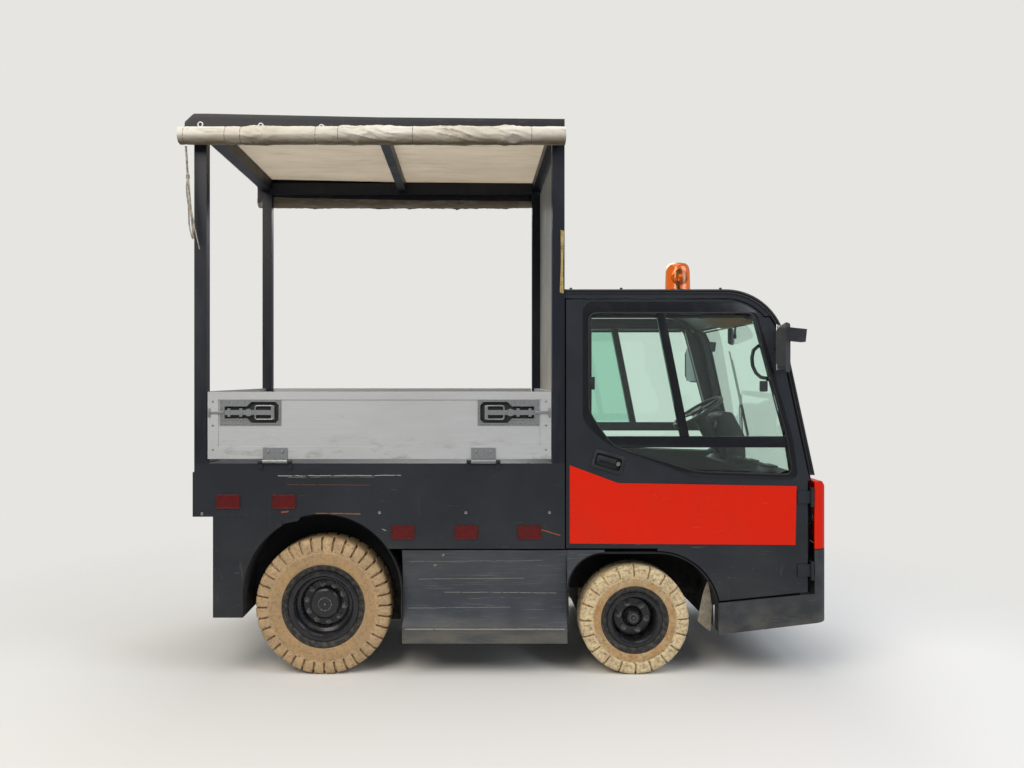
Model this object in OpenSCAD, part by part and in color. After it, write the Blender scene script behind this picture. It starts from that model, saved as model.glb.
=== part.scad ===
// Electric platform truck with a two-door cab, dropsides and a tarpaulin canopy.
// Millimetres. +X is forward, +Y is the left side, +Z is up. The origin is on the
// ground, in the middle of the truck. The right side is modelled and mirrored.

/* [Main sizes] */
// Width over the deck and its skirts
deck_w = 1300; // [1240:10:1360]
// Distance from the origin back to the deck's rear edge
deck_back = 1527; // [1510:1:1545]
// Length of the deck, from its rear edge to the back of the cab
deck_len = 1814; // [1804:1:1824]
// Height of the skirts' top edge, on which the load bed stands
deck_z = 1001; // [990:1:1015]
// Length of the cab, from its rear wall to its front wall
cab_len = 1218; // [1210:1:1226]
// Height of the cab's roof
cab_z = 1894; // [1880:1:1910]
// Reach of the nose and bumper ahead of the cab's front wall
nose_reach = 68; // [60:1:76]

/* [Wheels] */
// Distance from the origin back to the rear axle
rear_axle_back = 897; // [890:1:905]
// Radius of the rear tyre over its lugs
rear_tyre_r = 336; // [330:1:340]
// Width of the rear tyre
rear_tyre_w = 180; // [170:1:190]
// Radius of the rear tyre's seat on its rim
rear_seat_r = 152.4; // [145:0.1:160]
// Distance of the front axle ahead of the cab's rear wall
front_axle_ahead = 348.5; // [344:0.5:352]
// Radius of the front tyre over its lugs
front_tyre_r = 270; // [266:1:274]
// Width of the front tyre
front_tyre_w = 150; // [140:1:155]
// Radius of the front tyre's seat on its rim
front_seat_r = 114.3; // [110:0.1:120]
// Inset of the tyres' outer faces from the skirts
tyre_inset = 30; // [26:1:40]
// Distance of a kingpin inboard of the middle of its tyre
kingpin_inset = 100; // [98:1:104]
// Distance of the steering arms' eyes behind the kingpins
steer_arm = 140; // [120:1:150]

/* [Chassis] */
// Distance of a chassis rail's inner face from the middle
rail_in = 200; // [190:1:205]
// Width of a chassis rail
rail_w = 70; // [60:1:75]
// Height of the rails' underside
rail_z = 440; // [435:1:450]
// Height of a rail's section
rail_h = 120; // [110:1:125]
// Diameter of the rear axle's tube
axle_d = 110; // [100:1:116]
// Length of the battery
battery_len = 740; // [700:10:745]
// Width of the battery
battery_w = 820; // [760:10:830]
// Height of the battery
battery_h = 400; // [350:10:420]

/* [Body panels] */
// Thickness of skirts, fenders and other body panels
panel_t = 5; // [4:0.5:8]
// Height of a skirt behind and above the rear wheel
skirt_h_rear = 217; // [210:1:225]
// Height of a skirt ahead of the rear wheel
skirt_h_front = 373; // [365:1:378]
// Depth of the panels' folded edges
flange_d = 35; // [25:1:45]
// Height of the fenders' lower edge
fender_z = 292; // [280:1:310]
// Inset of a fender's back from the deck's rear edge
fender_inset = 99; // [90:1:110]
// Radius of the rear wheel arch
rear_arch_r = 390; // [386:1:396]
// Height of the rear arch's centre above the axle
rear_arch_up = 72; // [66:1:80]
// Height of a step's lower edge
step_z = 166; // [160:1:180]
// Height of a step's lip
step_lip_h = 79; // [70:1:90]
// Inward sweep of a step's hollow face
step_sweep = 46; // [30:1:60]

/* [Load bed] */
// Height of the bed's frame
bed_h = 43; // [36:1:50]
// Gap below the boards
board_gap = 22; // [18:1:26]
// Height of the boards
board_h = 327; // [310:1:340]
// Thickness of the boards
board_t = 28; // [24:1:32]
// Width of the boards' end caps
cap_w = 51; // [40:1:60]
// Running clearance at the ends of the boards
board_end_gap = 5.5; // [5:0.5:8]

/* [Canopy] */
// Width of a post, along the truck
post_w = 60; // [50:1:70]
// Depth of a post, across the truck
post_d = 50; // [40:1:60]
// Height of the posts' tops
post_z = 2650; // [2600:5:2700]
// Height of the top rails
top_rail_h = 70; // [60:1:80]
// Diameter of a rolled curtain
roll_d = 97; // [90:1:105]
// Overhang of the rolls behind the deck
roll_over = 46; // [30:1:60]
// Thickness of the tarpaulin
sheet_t = 4; // [3:0.5:6]

/* [Cab] */
// Radius of the roof's front edge
roof_r = 298; // [290:1:306]
// Lean of the windscreen from upright, in degrees
screen_lean = 12.2; // [11:0.1:13]
// Height of the belt line, where the windscreen starts
belt_z = 957; // [945:1:965]
// Thickness of a door
door_t = 45; // [40:1:50]
// Inset of the doors' outer face from the skirts' width
door_inset = 10; // [6:1:14]
// Width of the cab's pillars
pillar_w = 48; // [42:1:56]
// Clearance between a door and what it closes on
door_gap = 7; // [6:0.5:9]
// Thickness of the glass
glass_t = 6; // [4:0.5:8]
// Height of the front foot well's floor
floor_z = 400; // [396:1:404]
// Height of the floor below the seats, over the front wheels
well_top = 612; // [611:1:616]
// Height of the seats' underside
seat_z = 700; // [690:1:720]
// Width of a seat
seat_w = 440; // [400:10:460]
// Distance of a seat's middle from the truck's middle
seat_y = 290; // [270:1:300]
// Thickness of the cab's floor
floor_t = 8; // [6:1:10]
// Diameter of the steering wheel
wheel_d = 340; // [320:5:360]
// Diameter of the beacon
beacon_d = 145; // [130:1:160]
// Height of the beacon
beacon_h = 222; // [200:1:230]

// Number of lugs round a rear tyre
rear_lugs = 36; // [32:1:36]
// Number of lugs round a front tyre
front_lugs = 20; // [18:1:20]

/* [Hidden] */

$fn = 64;
e = 1;
fit = 0.3;

half_w = deck_w / 2;
deck_x0 = -deck_back;
deck_x1 = deck_x0 + deck_len;
front_axle_x = deck_x1 + front_axle_ahead;
cab_x1 = deck_x1 + cab_len;
nose_x = cab_x1 + nose_reach;

rear_x = -rear_axle_back;
rear_z = rear_tyre_r;
front_z = front_tyre_r;
rear_y = half_w - tyre_inset - rear_tyre_w / 2;
front_y = half_w - tyre_inset - front_tyre_w / 2;
kingpin_y = front_y - kingpin_inset;

rail_out = rail_in + rail_w;
rail_top = rail_z + rail_h;

bed_z = deck_z + bed_h;
board_z = bed_z + board_gap;
board_top = board_z + board_h;
board_axis_out = 10;
board_axis_z = board_z - 11;
post_x0 = deck_x0 + 8;
post_x1 = deck_x1 - 1 - post_w;
post_in = half_w - post_d;

skirt_low_rear = deck_z - skirt_h_rear;
skirt_low_front = deck_z - skirt_h_front;
step_x0 = rear_x + rear_arch_r + 1;
step_top = skirt_low_front - 8;

door_out = half_w - door_inset;
door_in = door_out - door_t;
frame_out = door_in - door_gap;
frame_in = frame_out - pillar_w;
roof_t = 44;
door_top = cab_z - roof_t;
door_x0 = deck_x1 + 7;
hinge_x = cab_x1 - 11;
hinge_y = half_w;
door_x1 = hinge_x - 10;
door_low = skirt_low_front;
door_low_front = 370;
door_low_nose = 416;

roof_back = 432;
roof_cx = cab_x1 - roof_back;
roof_cz = cab_z - roof_r;

// Shapes drawn in the side view (x, z) and grown across, from y_in outwards on the right side
module across(y_in, t) { translate([0, -y_in, 0]) rotate([90, 0, 0]) linear_extrude(t) children(); }
// Shapes drawn in the side view (x, z) and grown across the whole width
module whole_width(w) { translate([0, w / 2, 0]) rotate([90, 0, 0]) linear_extrude(w) children(); }
// Shapes drawn in the rear view (y, z) and grown along the truck
module along(x0, l) { translate([x0, 0, 0]) rotate([90, 0, 90]) linear_extrude(l) children(); }
// The same piece on the right side and on the left side
module both_sides() { children(); mirror([0, 1, 0]) children(); }
// A box between two corners
module block(a, b) { translate(a) cube(b - a); }
// A shaft across the truck, from y_in outwards on the right side
module shaft(x, z, y_in, y_out, r) {
    translate([x, -y_in, z]) rotate([90, 0, 0]) cylinder(h = y_out - y_in, r = r);
}

// Rear wheel arch in the side view
module rear_arch(grow = 0) {
    r = rear_arch_r + grow;
    translate([rear_x, rear_z + rear_arch_up]) circle(r);
    translate([rear_x - r, -100]) square([2 * r, rear_z + rear_arch_up + 100]);
}

// Front wheel arch in the side view: a tight rear corner, a flat top and a wide front curve
front_arch_back = 336;
front_arch_h = 339;
front_arch_r0 = 182;
front_arch_r1 = 304;
front_arch_cx = 106;
arch_x0 = front_axle_x - front_arch_back;
arch_top = front_z + front_arch_h;
module front_arch(grow = 0) {
    x0 = arch_x0;
    top = arch_top;
    xc = front_axle_x + front_arch_cx;
    translate([x0 + front_arch_r0, top - front_arch_r0]) circle(front_arch_r0 + grow);
    translate([xc, top - front_arch_r1]) circle(front_arch_r1 + grow);
    translate([x0 + front_arch_r0, -100]) square([xc - x0 - front_arch_r0, top + grow + 100]);
    translate([x0 - grow, -100]) square([xc - x0 + grow, top - front_arch_r0 + 100]);
    translate([xc, -100]) square([front_arch_r1 + grow, top - front_arch_r1 + 100]);
}

// Side view of the cab inside its outer line by a given inset
function screen_top(inset) = [roof_cx + (roof_r - inset) * cos(screen_lean),
    roof_cz + (roof_r - inset) * sin(screen_lean)];
function screen_foot(inset) =
    [screen_top(inset).x + (screen_top(inset).y - belt_z) * tan(screen_lean), belt_z];
module cab_outline(inset = 0) {
    polygon([[deck_x1, 0], [deck_x1, cab_z - inset], [roof_cx, cab_z - inset], [roof_cx, roof_cz],
        screen_top(inset), screen_foot(inset), [cab_x1 - inset, belt_z], [cab_x1 - inset, 0]]);
    translate([roof_cx, roof_cz]) circle(roof_r - inset);
}

// chassis: two cranked rails, with cross members, horns to the bumper and outriggers
tail_plate_x = deck_x0 + fender_inset + panel_t;
apron_t = 8;
horn_x = nose_x - apron_t - fit;
horn_h = 90;
// where the rails begin to drop ahead of the deck, the length of their drop, and how far its top edge
// runs ahead of its lower one at each end
crank_ahead = 403;
crank_len = 300;
crank_skew = [10, 20];
crank_x = deck_x1 + crank_ahead;
rail_crank = [[tail_plate_x + fit, rail_z], [tail_plate_x + fit, rail_top],
    [crank_x + crank_skew[0], rail_top], [crank_x + crank_len + crank_skew[1], floor_z],
    [horn_x, floor_z], [horn_x, floor_z - horn_h],
    [crank_x + crank_len, floor_z - horn_h], [crank_x, rail_z]];
// columns: middle along the truck, underside
cross_members = [[tail_plate_x + 38, rail_z + 15], [step_x0 + 26, rail_z + 15], [deck_x1 - 87,
    rail_z + 15],
    [cab_x1 - 125, floor_z - horn_h]];
member_w = 60;
member_h = 70;
outriggers = [step_x0 + 76, deck_x1 - 107];
outrigger_w = 50;
// places along the truck of the blocks that carry the cab's floor
cab_mounts = [deck_x1 + 43, deck_x1 + 368];
mount_l = 60;
module chassis() {
    color("#26282b") union() {
        both_sides() across(rail_in, rail_w) polygon(rail_crank);
        for (c = cross_members)
            block([c.x - member_w / 2, -rail_in - e, c.y],
                [c.x + member_w / 2, rail_in + e, c.y + member_h]);
        for (x = outriggers) both_sides()
            block([x - outrigger_w / 2, -half_w + 60, rail_z + 40],
                [x + outrigger_w / 2, -rail_out + e, rail_top - 20]);
        for (x = cab_mounts) both_sides()
            block([x - mount_l / 2, -rail_out, rail_top - e], [x + mount_l / 2, -rail_in, well_top]);
        both_sides() block([tail_plate_x, -half_w + panel_t, rail_z + 10],
            [tail_plate_x + 40, -rail_out + e, rail_top - 20]);
    }
}

// battery below the bed, between the two front bearers
bearer_w = 36;
bearer_h = 50;
front_bearer_x = deck_x1 - 37;
battery_gap = 12;
battery_x0 = front_bearer_x - bearer_w / 2 - battery_gap - battery_len;
module battery() {
    color("#3f4a44") block([battery_x0, -battery_w / 2, rail_top],
        [battery_x0 + battery_len, battery_w / 2, rail_top + battery_h]);
}

// bearers: members across the truck that carry the bed and the skirts, on uprights from the rails
bearers = [deck_x0 + 132, rear_x - 113, battery_x0 - battery_gap - bearer_w / 2, front_bearer_x];
module bearers() {
    color("#26282b") for (x = bearers) {
        block([x - bearer_w / 2, -half_w + panel_t, deck_z - bearer_h],
            [x + bearer_w / 2, half_w - panel_t, deck_z]);
        both_sides() block([x - bearer_w / 2, -rail_out, rail_top],
            [x + bearer_w / 2, -rail_in, deck_z - bearer_h + e]);
    }
}

// rear axle: tube, final drive, motor and leaf springs
spindle_r = 30;
spindle_l = 52;
axle_end = rear_y - spindle_l;
module rear_axle() {
    color("#303236") union() {
        both_sides() shaft(rear_x, rear_z, -e, axle_end, axle_d / 2);
        both_sides() shaft(rear_x, rear_z, axle_end - e, rear_y + 40, spindle_r);
        translate([rear_x, 0, rear_z]) rotate([90, 0, 0]) rotate_extrude() polygon([[0, -105], [70, -105],
            [125, -60], [125, 60], [70, 105], [0, 105]]);
        translate([rear_x, 0, rear_z + 12]) rotate([0, 90, 0]) cylinder(h = 380, r = 95);
        both_sides() for (leaf = [0 : 3])
            block([rear_x - 330 + leaf * 62, -rail_in - 62, rear_z + axle_d / 2 - 8 + 34 - leaf * 11],
                [rear_x + 330 - leaf * 62, -rail_in - 8, rear_z + axle_d / 2 + 4 + 34 - leaf * 11]);
        both_sides() for (side = [-1, 1])
            block([rear_x + side * 305 - 22, -rail_in - 58, rear_z + axle_d / 2 + 30],
                [rear_x + side * 305 + 22, -rail_in - 12, rail_z]);
    }
}

// front axle: beam, seats below the rails and a fork round each kingpin
kingpin_r = 16;
knuckle_h = 96;
fork_t = 22;
beam_h = 84;
fork_reach = 60;
module front_axle() {
    fork_z = front_z + knuckle_h / 2 + fit;
    color("#303236") difference() {
        union() {
            block([front_axle_x - 38, -kingpin_y + fork_reach, front_z - beam_h / 2],
                [front_axle_x + 38, kingpin_y - fork_reach, front_z + beam_h / 2]);
            both_sides() {
                for (side = [-1, 1]) translate([0, 0, front_z + side * (fork_z - front_z + fork_t / 2)]) {
                    translate([front_axle_x, -kingpin_y, -fork_t / 2]) cylinder(h = fork_t, r = 34);
                    block([front_axle_x - 34, -kingpin_y, -fork_t / 2],
                        [front_axle_x + 34, -kingpin_y + fork_reach + 24, fork_t / 2]);
                }
                block([front_axle_x - 34, -kingpin_y + fork_reach, front_z - knuckle_h / 2 - fork_t - fit],
                    [front_axle_x + 34, -kingpin_y + fork_reach + 24,
                    front_z + knuckle_h / 2 + fork_t + fit]);
                block([front_axle_x - 45, -rail_out + 10, front_z + beam_h / 2 - e],
                    [front_axle_x + 45, -rail_in - 10, rail_z]);
            }
        }
        both_sides() translate([front_axle_x, -kingpin_y, front_z - 100]) cylinder(h = 200,
            r = kingpin_r + fit);
    }
}

// knuckle: boss on the kingpin, stub axle outwards, steering arm rearwards
stub_r = 26;
arm_t = 20;
arm_w = 22;
arm_z = front_z - 34;
arm_pin_r = 8;
eye_r = 16;
module knuckle() {
    color("#3a3c40") union() {
        translate([front_axle_x, -kingpin_y, front_z - knuckle_h / 2]) cylinder(h = knuckle_h, r = 38);
        translate([front_axle_x, -kingpin_y, front_z - knuckle_h / 2 - fork_t])
            cylinder(h = knuckle_h + 2 * fork_t, r = kingpin_r);
        shaft(front_axle_x, front_z, kingpin_y, front_y - 28, 36);
        shaft(front_axle_x, front_z, kingpin_y + 20, front_y + 34, stub_r);
        translate([front_axle_x, -kingpin_y, arm_z - arm_t / 2]) linear_extrude(arm_t)
            polygon([[-20, -arm_w / 2 - 6], [-20, arm_w / 2 + 6], [-steer_arm, arm_w / 2],
                [-steer_arm, -arm_w / 2]]);
        translate([front_axle_x - steer_arm, -kingpin_y, arm_z - arm_t / 2]) cylinder(h = arm_t,
            r = eye_r);
        translate([front_axle_x - steer_arm, -kingpin_y, arm_z - arm_t / 2 - 32]) cylinder(h = 40,
            r = arm_pin_r);
    }
}
module knuckle_right() { knuckle(); }
module knuckle_left() { mirror([0, 1, 0]) knuckle(); }

// tie rod: a tube with an eye on each steering arm's pin
module tie_rod() {
    rod_z = arm_z - arm_t / 2 - fit - 13;
    color("#45474b") difference() {
        union() {
            shaft(front_axle_x - steer_arm, rod_z, -kingpin_y + 12, kingpin_y - 12, 13);
            both_sides() translate([front_axle_x - steer_arm, -kingpin_y, rod_z - 13]) cylinder(h = 26,
                r = eye_r);
        }
        both_sides() translate([front_axle_x - steer_arm, -kingpin_y, rod_z - 30])
            cylinder(h = 60, r = arm_pin_r + fit);
    }
}

// Wheels. Each profile is drawn as (radius, distance outwards from the tyre's middle).
// Rear rim: flanges, seat, a flat disc set deep in the barrel, and a hub with its cap
module rear_rim() {
    w = rear_tyre_w / 2;
    s = rear_seat_r;
    translate([rear_x, -rear_y, rear_z]) rotate([90, 0, 0]) color("#1d1e20") rotate_extrude() union() {
        polygon([[s - 10, -w + 18], [s - fit, -w + 18], [s - fit, w - 18], [s + 20, w - 18], [s + 20,
            w - 12],
            [s + 6, w - 9], [s - 4, w - 11], [s - 12, w - 22], [s - 16, w - 46], [s - 16, -w + 18]]);
        polygon([[s - 16, -w + 8], [s + 18, -w + 8], [s + 18, -w + 18 - fit], [s - 9, -w + 18 - fit],
            [s - 9, -w + 19],
            [s - 16, -w + 19]]);
        polygon([[spindle_r + fit, -44], [66, -44], [72, -14], [112, -6], [118, 10], [s - 15, 28],
            [s - 15, 38],
            [122, 30], [110, 6], [76, 4], [74, 34], [66, 40], [30, 42], [0, 42], [0, 40.3],
            [spindle_r + fit, 40.3]]);
    }
}
// Front rim: flanges, seat, and a flat disc set deep behind its opening
module front_rim() {
    w = front_tyre_w / 2;
    s = front_seat_r;
    translate([front_axle_x, -front_y, front_z]) rotate([90, 0, 0]) color("#1d1e20") rotate_extrude()
        union() {
        polygon([[s - 10, -w + 14], [s - fit, -w + 14], [s - fit, w - 14], [s + 20, w - 14], [s + 20,
            w - 9],
            [s + 8, w - 6], [s, w - 8], [s - 6, w - 16], [s - 10, w - 30]]);
        polygon([[s - 10, -w + 6], [s + 18, -w + 6], [s + 18, -w + 14 - fit], [s - 6, -w + 14 - fit],
            [s - 6, -w + 15],
            [s - 10, -w + 15]]);
        polygon([[stub_r + fit, -24], [52, -24], [56, -10], [88, -6], [s - 9, -14], [s - 9, -4], [90,
            4], [52, 6],
            [48, 16], [30, 36], [0, 36], [0, 34.3], [stub_r + fit, 34.3]]);
    }
}
// Tyres: rings of one profile set round the axle, three to a lug, the third one drawn in between two lugs
// columns: radius on a lug, radius between lugs, distance outwards from the tyre's middle
rear_bead = rear_tyre_w / 2 - 18 - fit;
front_bead = front_tyre_w / 2 - 14 - fit;
bead_h = 22;
rear_tyre_half = [[rear_seat_r, rear_seat_r, rear_bead], [rear_seat_r + bead_h, rear_seat_r + bead_h,
    rear_bead],
    [rear_tyre_r - 30, rear_tyre_r - 40, rear_tyre_w / 2], [rear_tyre_r, rear_tyre_r - 17, rear_bead]];
front_tyre_half = [[front_seat_r, front_seat_r, front_bead],
    [front_seat_r + bead_h, front_seat_r + bead_h, front_bead],
    [front_tyre_r - 26, front_tyre_r - 34, front_tyre_w / 2], [front_tyre_r, front_tyre_r - 11,
    front_bead - 4]];
rear_tyre_rib = [[rear_tyre_r, rear_tyre_r, 0]];
lug_share = 0.8;
function other_half(half) = [for (i = [len(half) - 1 : -1 : 0]) [half[i][0], half[i][1], -half[i][2]]];
function ring_angle(i, lugs) = 360 / lugs * (floor(i / 3) + [0, lug_share, (1 + lug_share) / 2][i % 3])
    - 90;
module tyre(half, rib, lugs) {
    loop = concat(half, rib, other_half(half));
    n = len(loop);
    rings = 3 * lugs;
    // the seat's flats stay outside the rim
    ease = 1 / cos(180 / lugs * lug_share);
    points = [for (i = [0 : rings - 1], p = loop)
        let (a = ring_angle(i, lugs), r = i % 3 == 2 ? p[1] : p[0] == half[0][0] ? p[0] * ease : p[0])
        [r * cos(a), r * sin(a), p[2]]];
    faces = [for (i = [0 : rings - 1], j = [0 : n - 1])
        let (i1 = (i + 1) % rings, j1 = (j + 1) % n)
        each [[i * n + j, i1 * n + j, i1 * n + j1], [i * n + j, i1 * n + j1, i * n + j1]]];
    polyhedron(points, faces);
}
module rear_tyre() {
    color("#cda573") translate([rear_x, -rear_y, rear_z]) rotate([90, 0, 0])
        tyre(rear_tyre_half, rear_tyre_rib, rear_lugs);
}
module front_tyre() {
    color("#cdb996") translate([front_axle_x, -front_y, front_z]) rotate([90, 0, 0])
        tyre(front_tyre_half, [], front_lugs);
}
module rim_rear_right() { rear_rim(); }
module rim_rear_left() { mirror([0, 1, 0]) rear_rim(); }
module rim_front_right() { front_rim(); }
module rim_front_left() { mirror([0, 1, 0]) front_rim(); }
module tyre_rear_right() { rear_tyre(); }
module tyre_rear_left() { mirror([0, 1, 0]) rear_tyre(); }
module tyre_front_right() { front_tyre(); }
module tyre_front_left() { mirror([0, 1, 0]) front_tyre(); }

// skirts: side panels below the bed with folded edges, cut round the rear wheel
module skirt_outline() {
    difference() {
        polygon([[deck_x0, deck_z], [deck_x1 - fit, deck_z], [deck_x1 - fit, skirt_low_front],
            [rear_x, skirt_low_front], [rear_x, skirt_low_rear], [deck_x0, skirt_low_rear]]);
        rear_arch(fit);
    }
}
module skirts() {
    color("#2a2d33") both_sides() {
        across(half_w - panel_t, panel_t) skirt_outline();
        across(half_w - flange_d, flange_d - panel_t + e) difference() {
            skirt_outline();
            translate([deck_x0 - e, skirt_low_rear + panel_t]) square([deck_len + 2 * e, deck_z]);
            translate([rear_x, skirt_low_front + panel_t]) square([deck_len, deck_z]);
        }
    }
}

// fenders: corner panels behind the rear wheels, folded in at the back
liner_t = 5;
liner_d = 230;
liner_wall_low = 480;
fender_fold = 140;
module fenders() {
    x0 = deck_x0 + fender_inset;
    color("#2a2d33") both_sides() {
        across(half_w - panel_t, panel_t) difference() {
            translate([x0, fender_z]) square([rear_x - rear_arch_r / 2 - x0,
                skirt_low_rear - fit - fender_z]);
            rear_arch(-liner_t);
        }
        across(half_w - fender_fold, fender_fold - panel_t + e) translate([x0, fender_z])
            square([panel_t, skirt_low_rear - fit - fender_z]);
    }
}
// arch liners: inner skins of the rear wheel arches
module arch_liners() {
    arch_z = rear_z + rear_arch_up;
    color("#1f2124") both_sides() across(half_w - liner_d, liner_d - panel_t) difference() {
        rear_arch(0);
        rear_arch(-liner_t);
        translate([rear_x - 2 * rear_arch_r, fender_z - 2 * arch_z]) square([2 * rear_arch_r, 2 * arch_z]);
        translate([rear_x, step_z + 34 - 2 * arch_z]) square([2 * rear_arch_r, 2 * arch_z]);
    }
}
// arch walls: close the rear wheel arches behind each tyre's upper half
module arch_walls() {
    arch_z = rear_z + rear_arch_up;
    color("#1f2124") both_sides() across(half_w - liner_d, liner_t) difference() {
        rear_arch(-liner_t);
        translate([rear_x - 2 * rear_arch_r, liner_wall_low - 2 * arch_z]) square([4 * rear_arch_r,
            2 * arch_z]);
    }
}

// steps: hollow-faced side covers between the wheels, with a lip to stand on
step_in = frame_out + fit;
module step_face(inset) {
    y = half_w - inset;
    top = step_top - inset;
    lip = step_z + step_lip_h + inset * 0.3;
    r = ((top - lip) * (top - lip) / 4 + step_sweep * step_sweep) / (2 * step_sweep);
    difference() {
        polygon([[-y, step_z - e * inset], [-y, top], [-step_in, top], [-step_in, step_z - e * inset]]);
        translate([-y + step_sweep - r, (top + lip) / 2]) circle(r, $fn = 128);
    }
}
module steps() {
    color("#3a3f45") both_sides() along(step_x0, front_axle_x - front_arch_back - step_x0) difference() {
        step_face(0);
        translate([0, -6]) step_face(6);
        translate([-step_in - 6, step_z - 20]) square([200, step_top - step_z]);
    }
    color("#3a3f45") both_sides() across(half_w - panel_t - 6, panel_t) difference() {
        translate([arch_x0 - fit, arch_top - front_arch_r0]) square([front_arch_r0,
            step_top - arch_top + front_arch_r0]);
        front_arch(fit);
    }
}

// rear panel: an upper plate at the deck's edge and a lower one between the fenders
module rear_panel() {
    flange_z = skirt_low_rear + panel_t + fit;
    color("#2a2d33") union() {
        block([deck_x0, -half_w + panel_t + fit, flange_z], [deck_x0 + panel_t, half_w - panel_t - fit,
            deck_z]);
        block([deck_x0, -half_w + flange_d + fit, skirt_low_rear],
            [tail_plate_x, half_w - flange_d - fit, flange_z + e]);
        block([tail_plate_x - panel_t, -half_w + 140 + fit, rail_z - 40],
            [tail_plate_x, half_w - 140 - fit, flange_z]);
    }
}

// red lenses: reflectors along the skirts and the tail lamps
// columns: place along the truck, height of the middle
reflectors = [[deck_x0 + 174, deck_z - 143], [deck_x0 + 447, deck_z - 143], [deck_x1 - 790, deck_z - 292],
    [deck_x1 - 480, deck_z - 292], [deck_x1 - 173, deck_z - 292]];
reflector_w = 107;
reflector_h = 62;
reflector_t = 3;
lamp_w = 220;
lamp_h = 90;
lamp_y = 420;
module red_lenses() {
    color("#8f1512") both_sides() {
        for (p = reflectors) translate([p.x - reflector_w / 2, -half_w - reflector_t,
            p.y - reflector_h / 2])
            cube([reflector_w, reflector_t, reflector_h]);
        translate([deck_x0 - reflector_t, -lamp_y - lamp_w / 2, deck_z - 110 - lamp_h / 2])
            cube([reflector_t, lamp_w, lamp_h]);
    }
}

// tow coupling: a jaw on the rear cross member with its pin
jaw_z = 440;
jaw_gap = 62;
pin_r = 15;
module tow_coupling() {
    x1 = deck_x0 + fender_inset;
    color("#3b3a38") difference() {
        union() {
            block([x1 - 12, -75, jaw_z - 55], [x1, 75, jaw_z + 75]);
            for (z = [jaw_z - jaw_gap / 2 - 18, jaw_z + jaw_gap / 2]) {
                block([x1 - 62, -45, z], [x1 - 10, 45, z + 18]);
                translate([x1 - 62, 0, z]) cylinder(h = 18, r = 32);
            }
            translate([x1 - 62, 0, jaw_z - jaw_gap / 2 - 20]) cylinder(h = jaw_gap + 60, r = pin_r);
        }
    }
}

// load bed: an edge frame with a floor, and the lugs and pins of the boards' hinges
strap_w = 120;
strap_end = 270;
lug_w = 22;
lug_r = 8;
board_pin_r = 4;
module hinge_lugs(l) {
    // placed as a board is: along x from 0 to l, its outer face at y = 0
    z = board_axis_z - board_z;
    for (x = [strap_end, l - strap_end - strap_w]) {
        for (x1 = [x - lug_w - 0.5, x + strap_w + 0.5]) {
            translate([x1, -board_axis_out, z]) rotate([0, 90, 0]) cylinder(h = lug_w, r = lug_r);
            translate([x1, -board_axis_out + lug_r - 4, bed_z - board_z - 28])
                cube([lug_w, board_axis_out - lug_r + 4, 24 + 20]);
        }
        translate([x - lug_w, -board_axis_out, z]) rotate([0, 90, 0])
            cylinder(h = strap_w + 2 * lug_w, r = board_pin_r);
    }
}
module load_bed() {
    color("#2b2e33") union() {
        difference() {
            block([post_x0, -half_w, deck_z], [deck_x1 - fit, half_w, bed_z]);
            block([post_x0 + 50, -half_w + 50, deck_z - e], [deck_x1 - 50, half_w - 50, bed_z + e]);
        }
        block([post_x0 + 49, -half_w + 49, deck_z + 8], [deck_x1 - 49, half_w - 49, bed_z - 6]);
        both_sides() translate([board_x0, -half_w, board_z]) hinge_lugs(board_x1 - board_x0);
        translate([post_x0, tail_y, board_z]) rotate(-90) hinge_lugs(2 * tail_y);
    }
}

// boards: hollow-ribbed aluminium panels with end caps
board_x0 = post_x0 + post_w + board_end_gap;
board_x1 = post_x1 - board_end_gap;
rib_h = 38;
latch_pocket_d = 18;
latch_w = 300;
latch_h = 126;
latch_t = 3;
latch_end = 58;
latch_foot = board_h - rib_h - latch_h;
// the pocket that a latch's lever lies in: a neck at the board's end, wide towards its middle
module latch_pocket(inset = 0) {
    polygon([[24 + inset, 33 + inset], [132, 33 + inset], [154, 11 + inset], [272, 11 + inset],
        [288 - inset, 27],
        [288 - inset, 99], [272, 115 - inset], [154, 115 - inset], [132, 93 - inset], [24 + inset,
        93 - inset]]);
}
// what is drawn at the left end of a board, at both its ends
module both_ends(l) { children(); translate([l, 0, 0]) mirror([1, 0, 0]) children(); }
module board(l) {
    // the board lies along x from 0 to l, its outer face at y = 0 and its foot at z = 0
    difference() {
        cube([l, board_t, board_h]);
        both_ends(l) translate([latch_end, latch_pocket_d, latch_foot]) rotate([90, 0, 0])
            linear_extrude(latch_pocket_d) latch_pocket();
        translate([cap_w, -e, 60]) cube([l - 2 * cap_w, 4 + e, board_h - 60 - rib_h]);
        translate([cap_w, board_t - 4, 60]) cube([l - 2 * cap_w, 4 + e, board_h - 60 - rib_h]);
    }
}
module dropside() {
    color("#bfc0c0") translate([board_x0, -half_w, board_z]) board(board_x1 - board_x0);
}
module dropside_right() { dropside(); }
module dropside_left() { mirror([0, 1, 0]) dropside(); }
tail_y = half_w - post_d - board_end_gap;
module tailboard() {
    color("#bfc0c0") translate([post_x0, tail_y, board_z]) rotate(-90) board(2 * tail_y);
}
module front_board() {
    color("#bfc0c0") block([deck_x1 - 50, -post_in + fit, bed_z], [deck_x1 - 50 + board_t,
        post_in - fit, board_top]);
}

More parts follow.
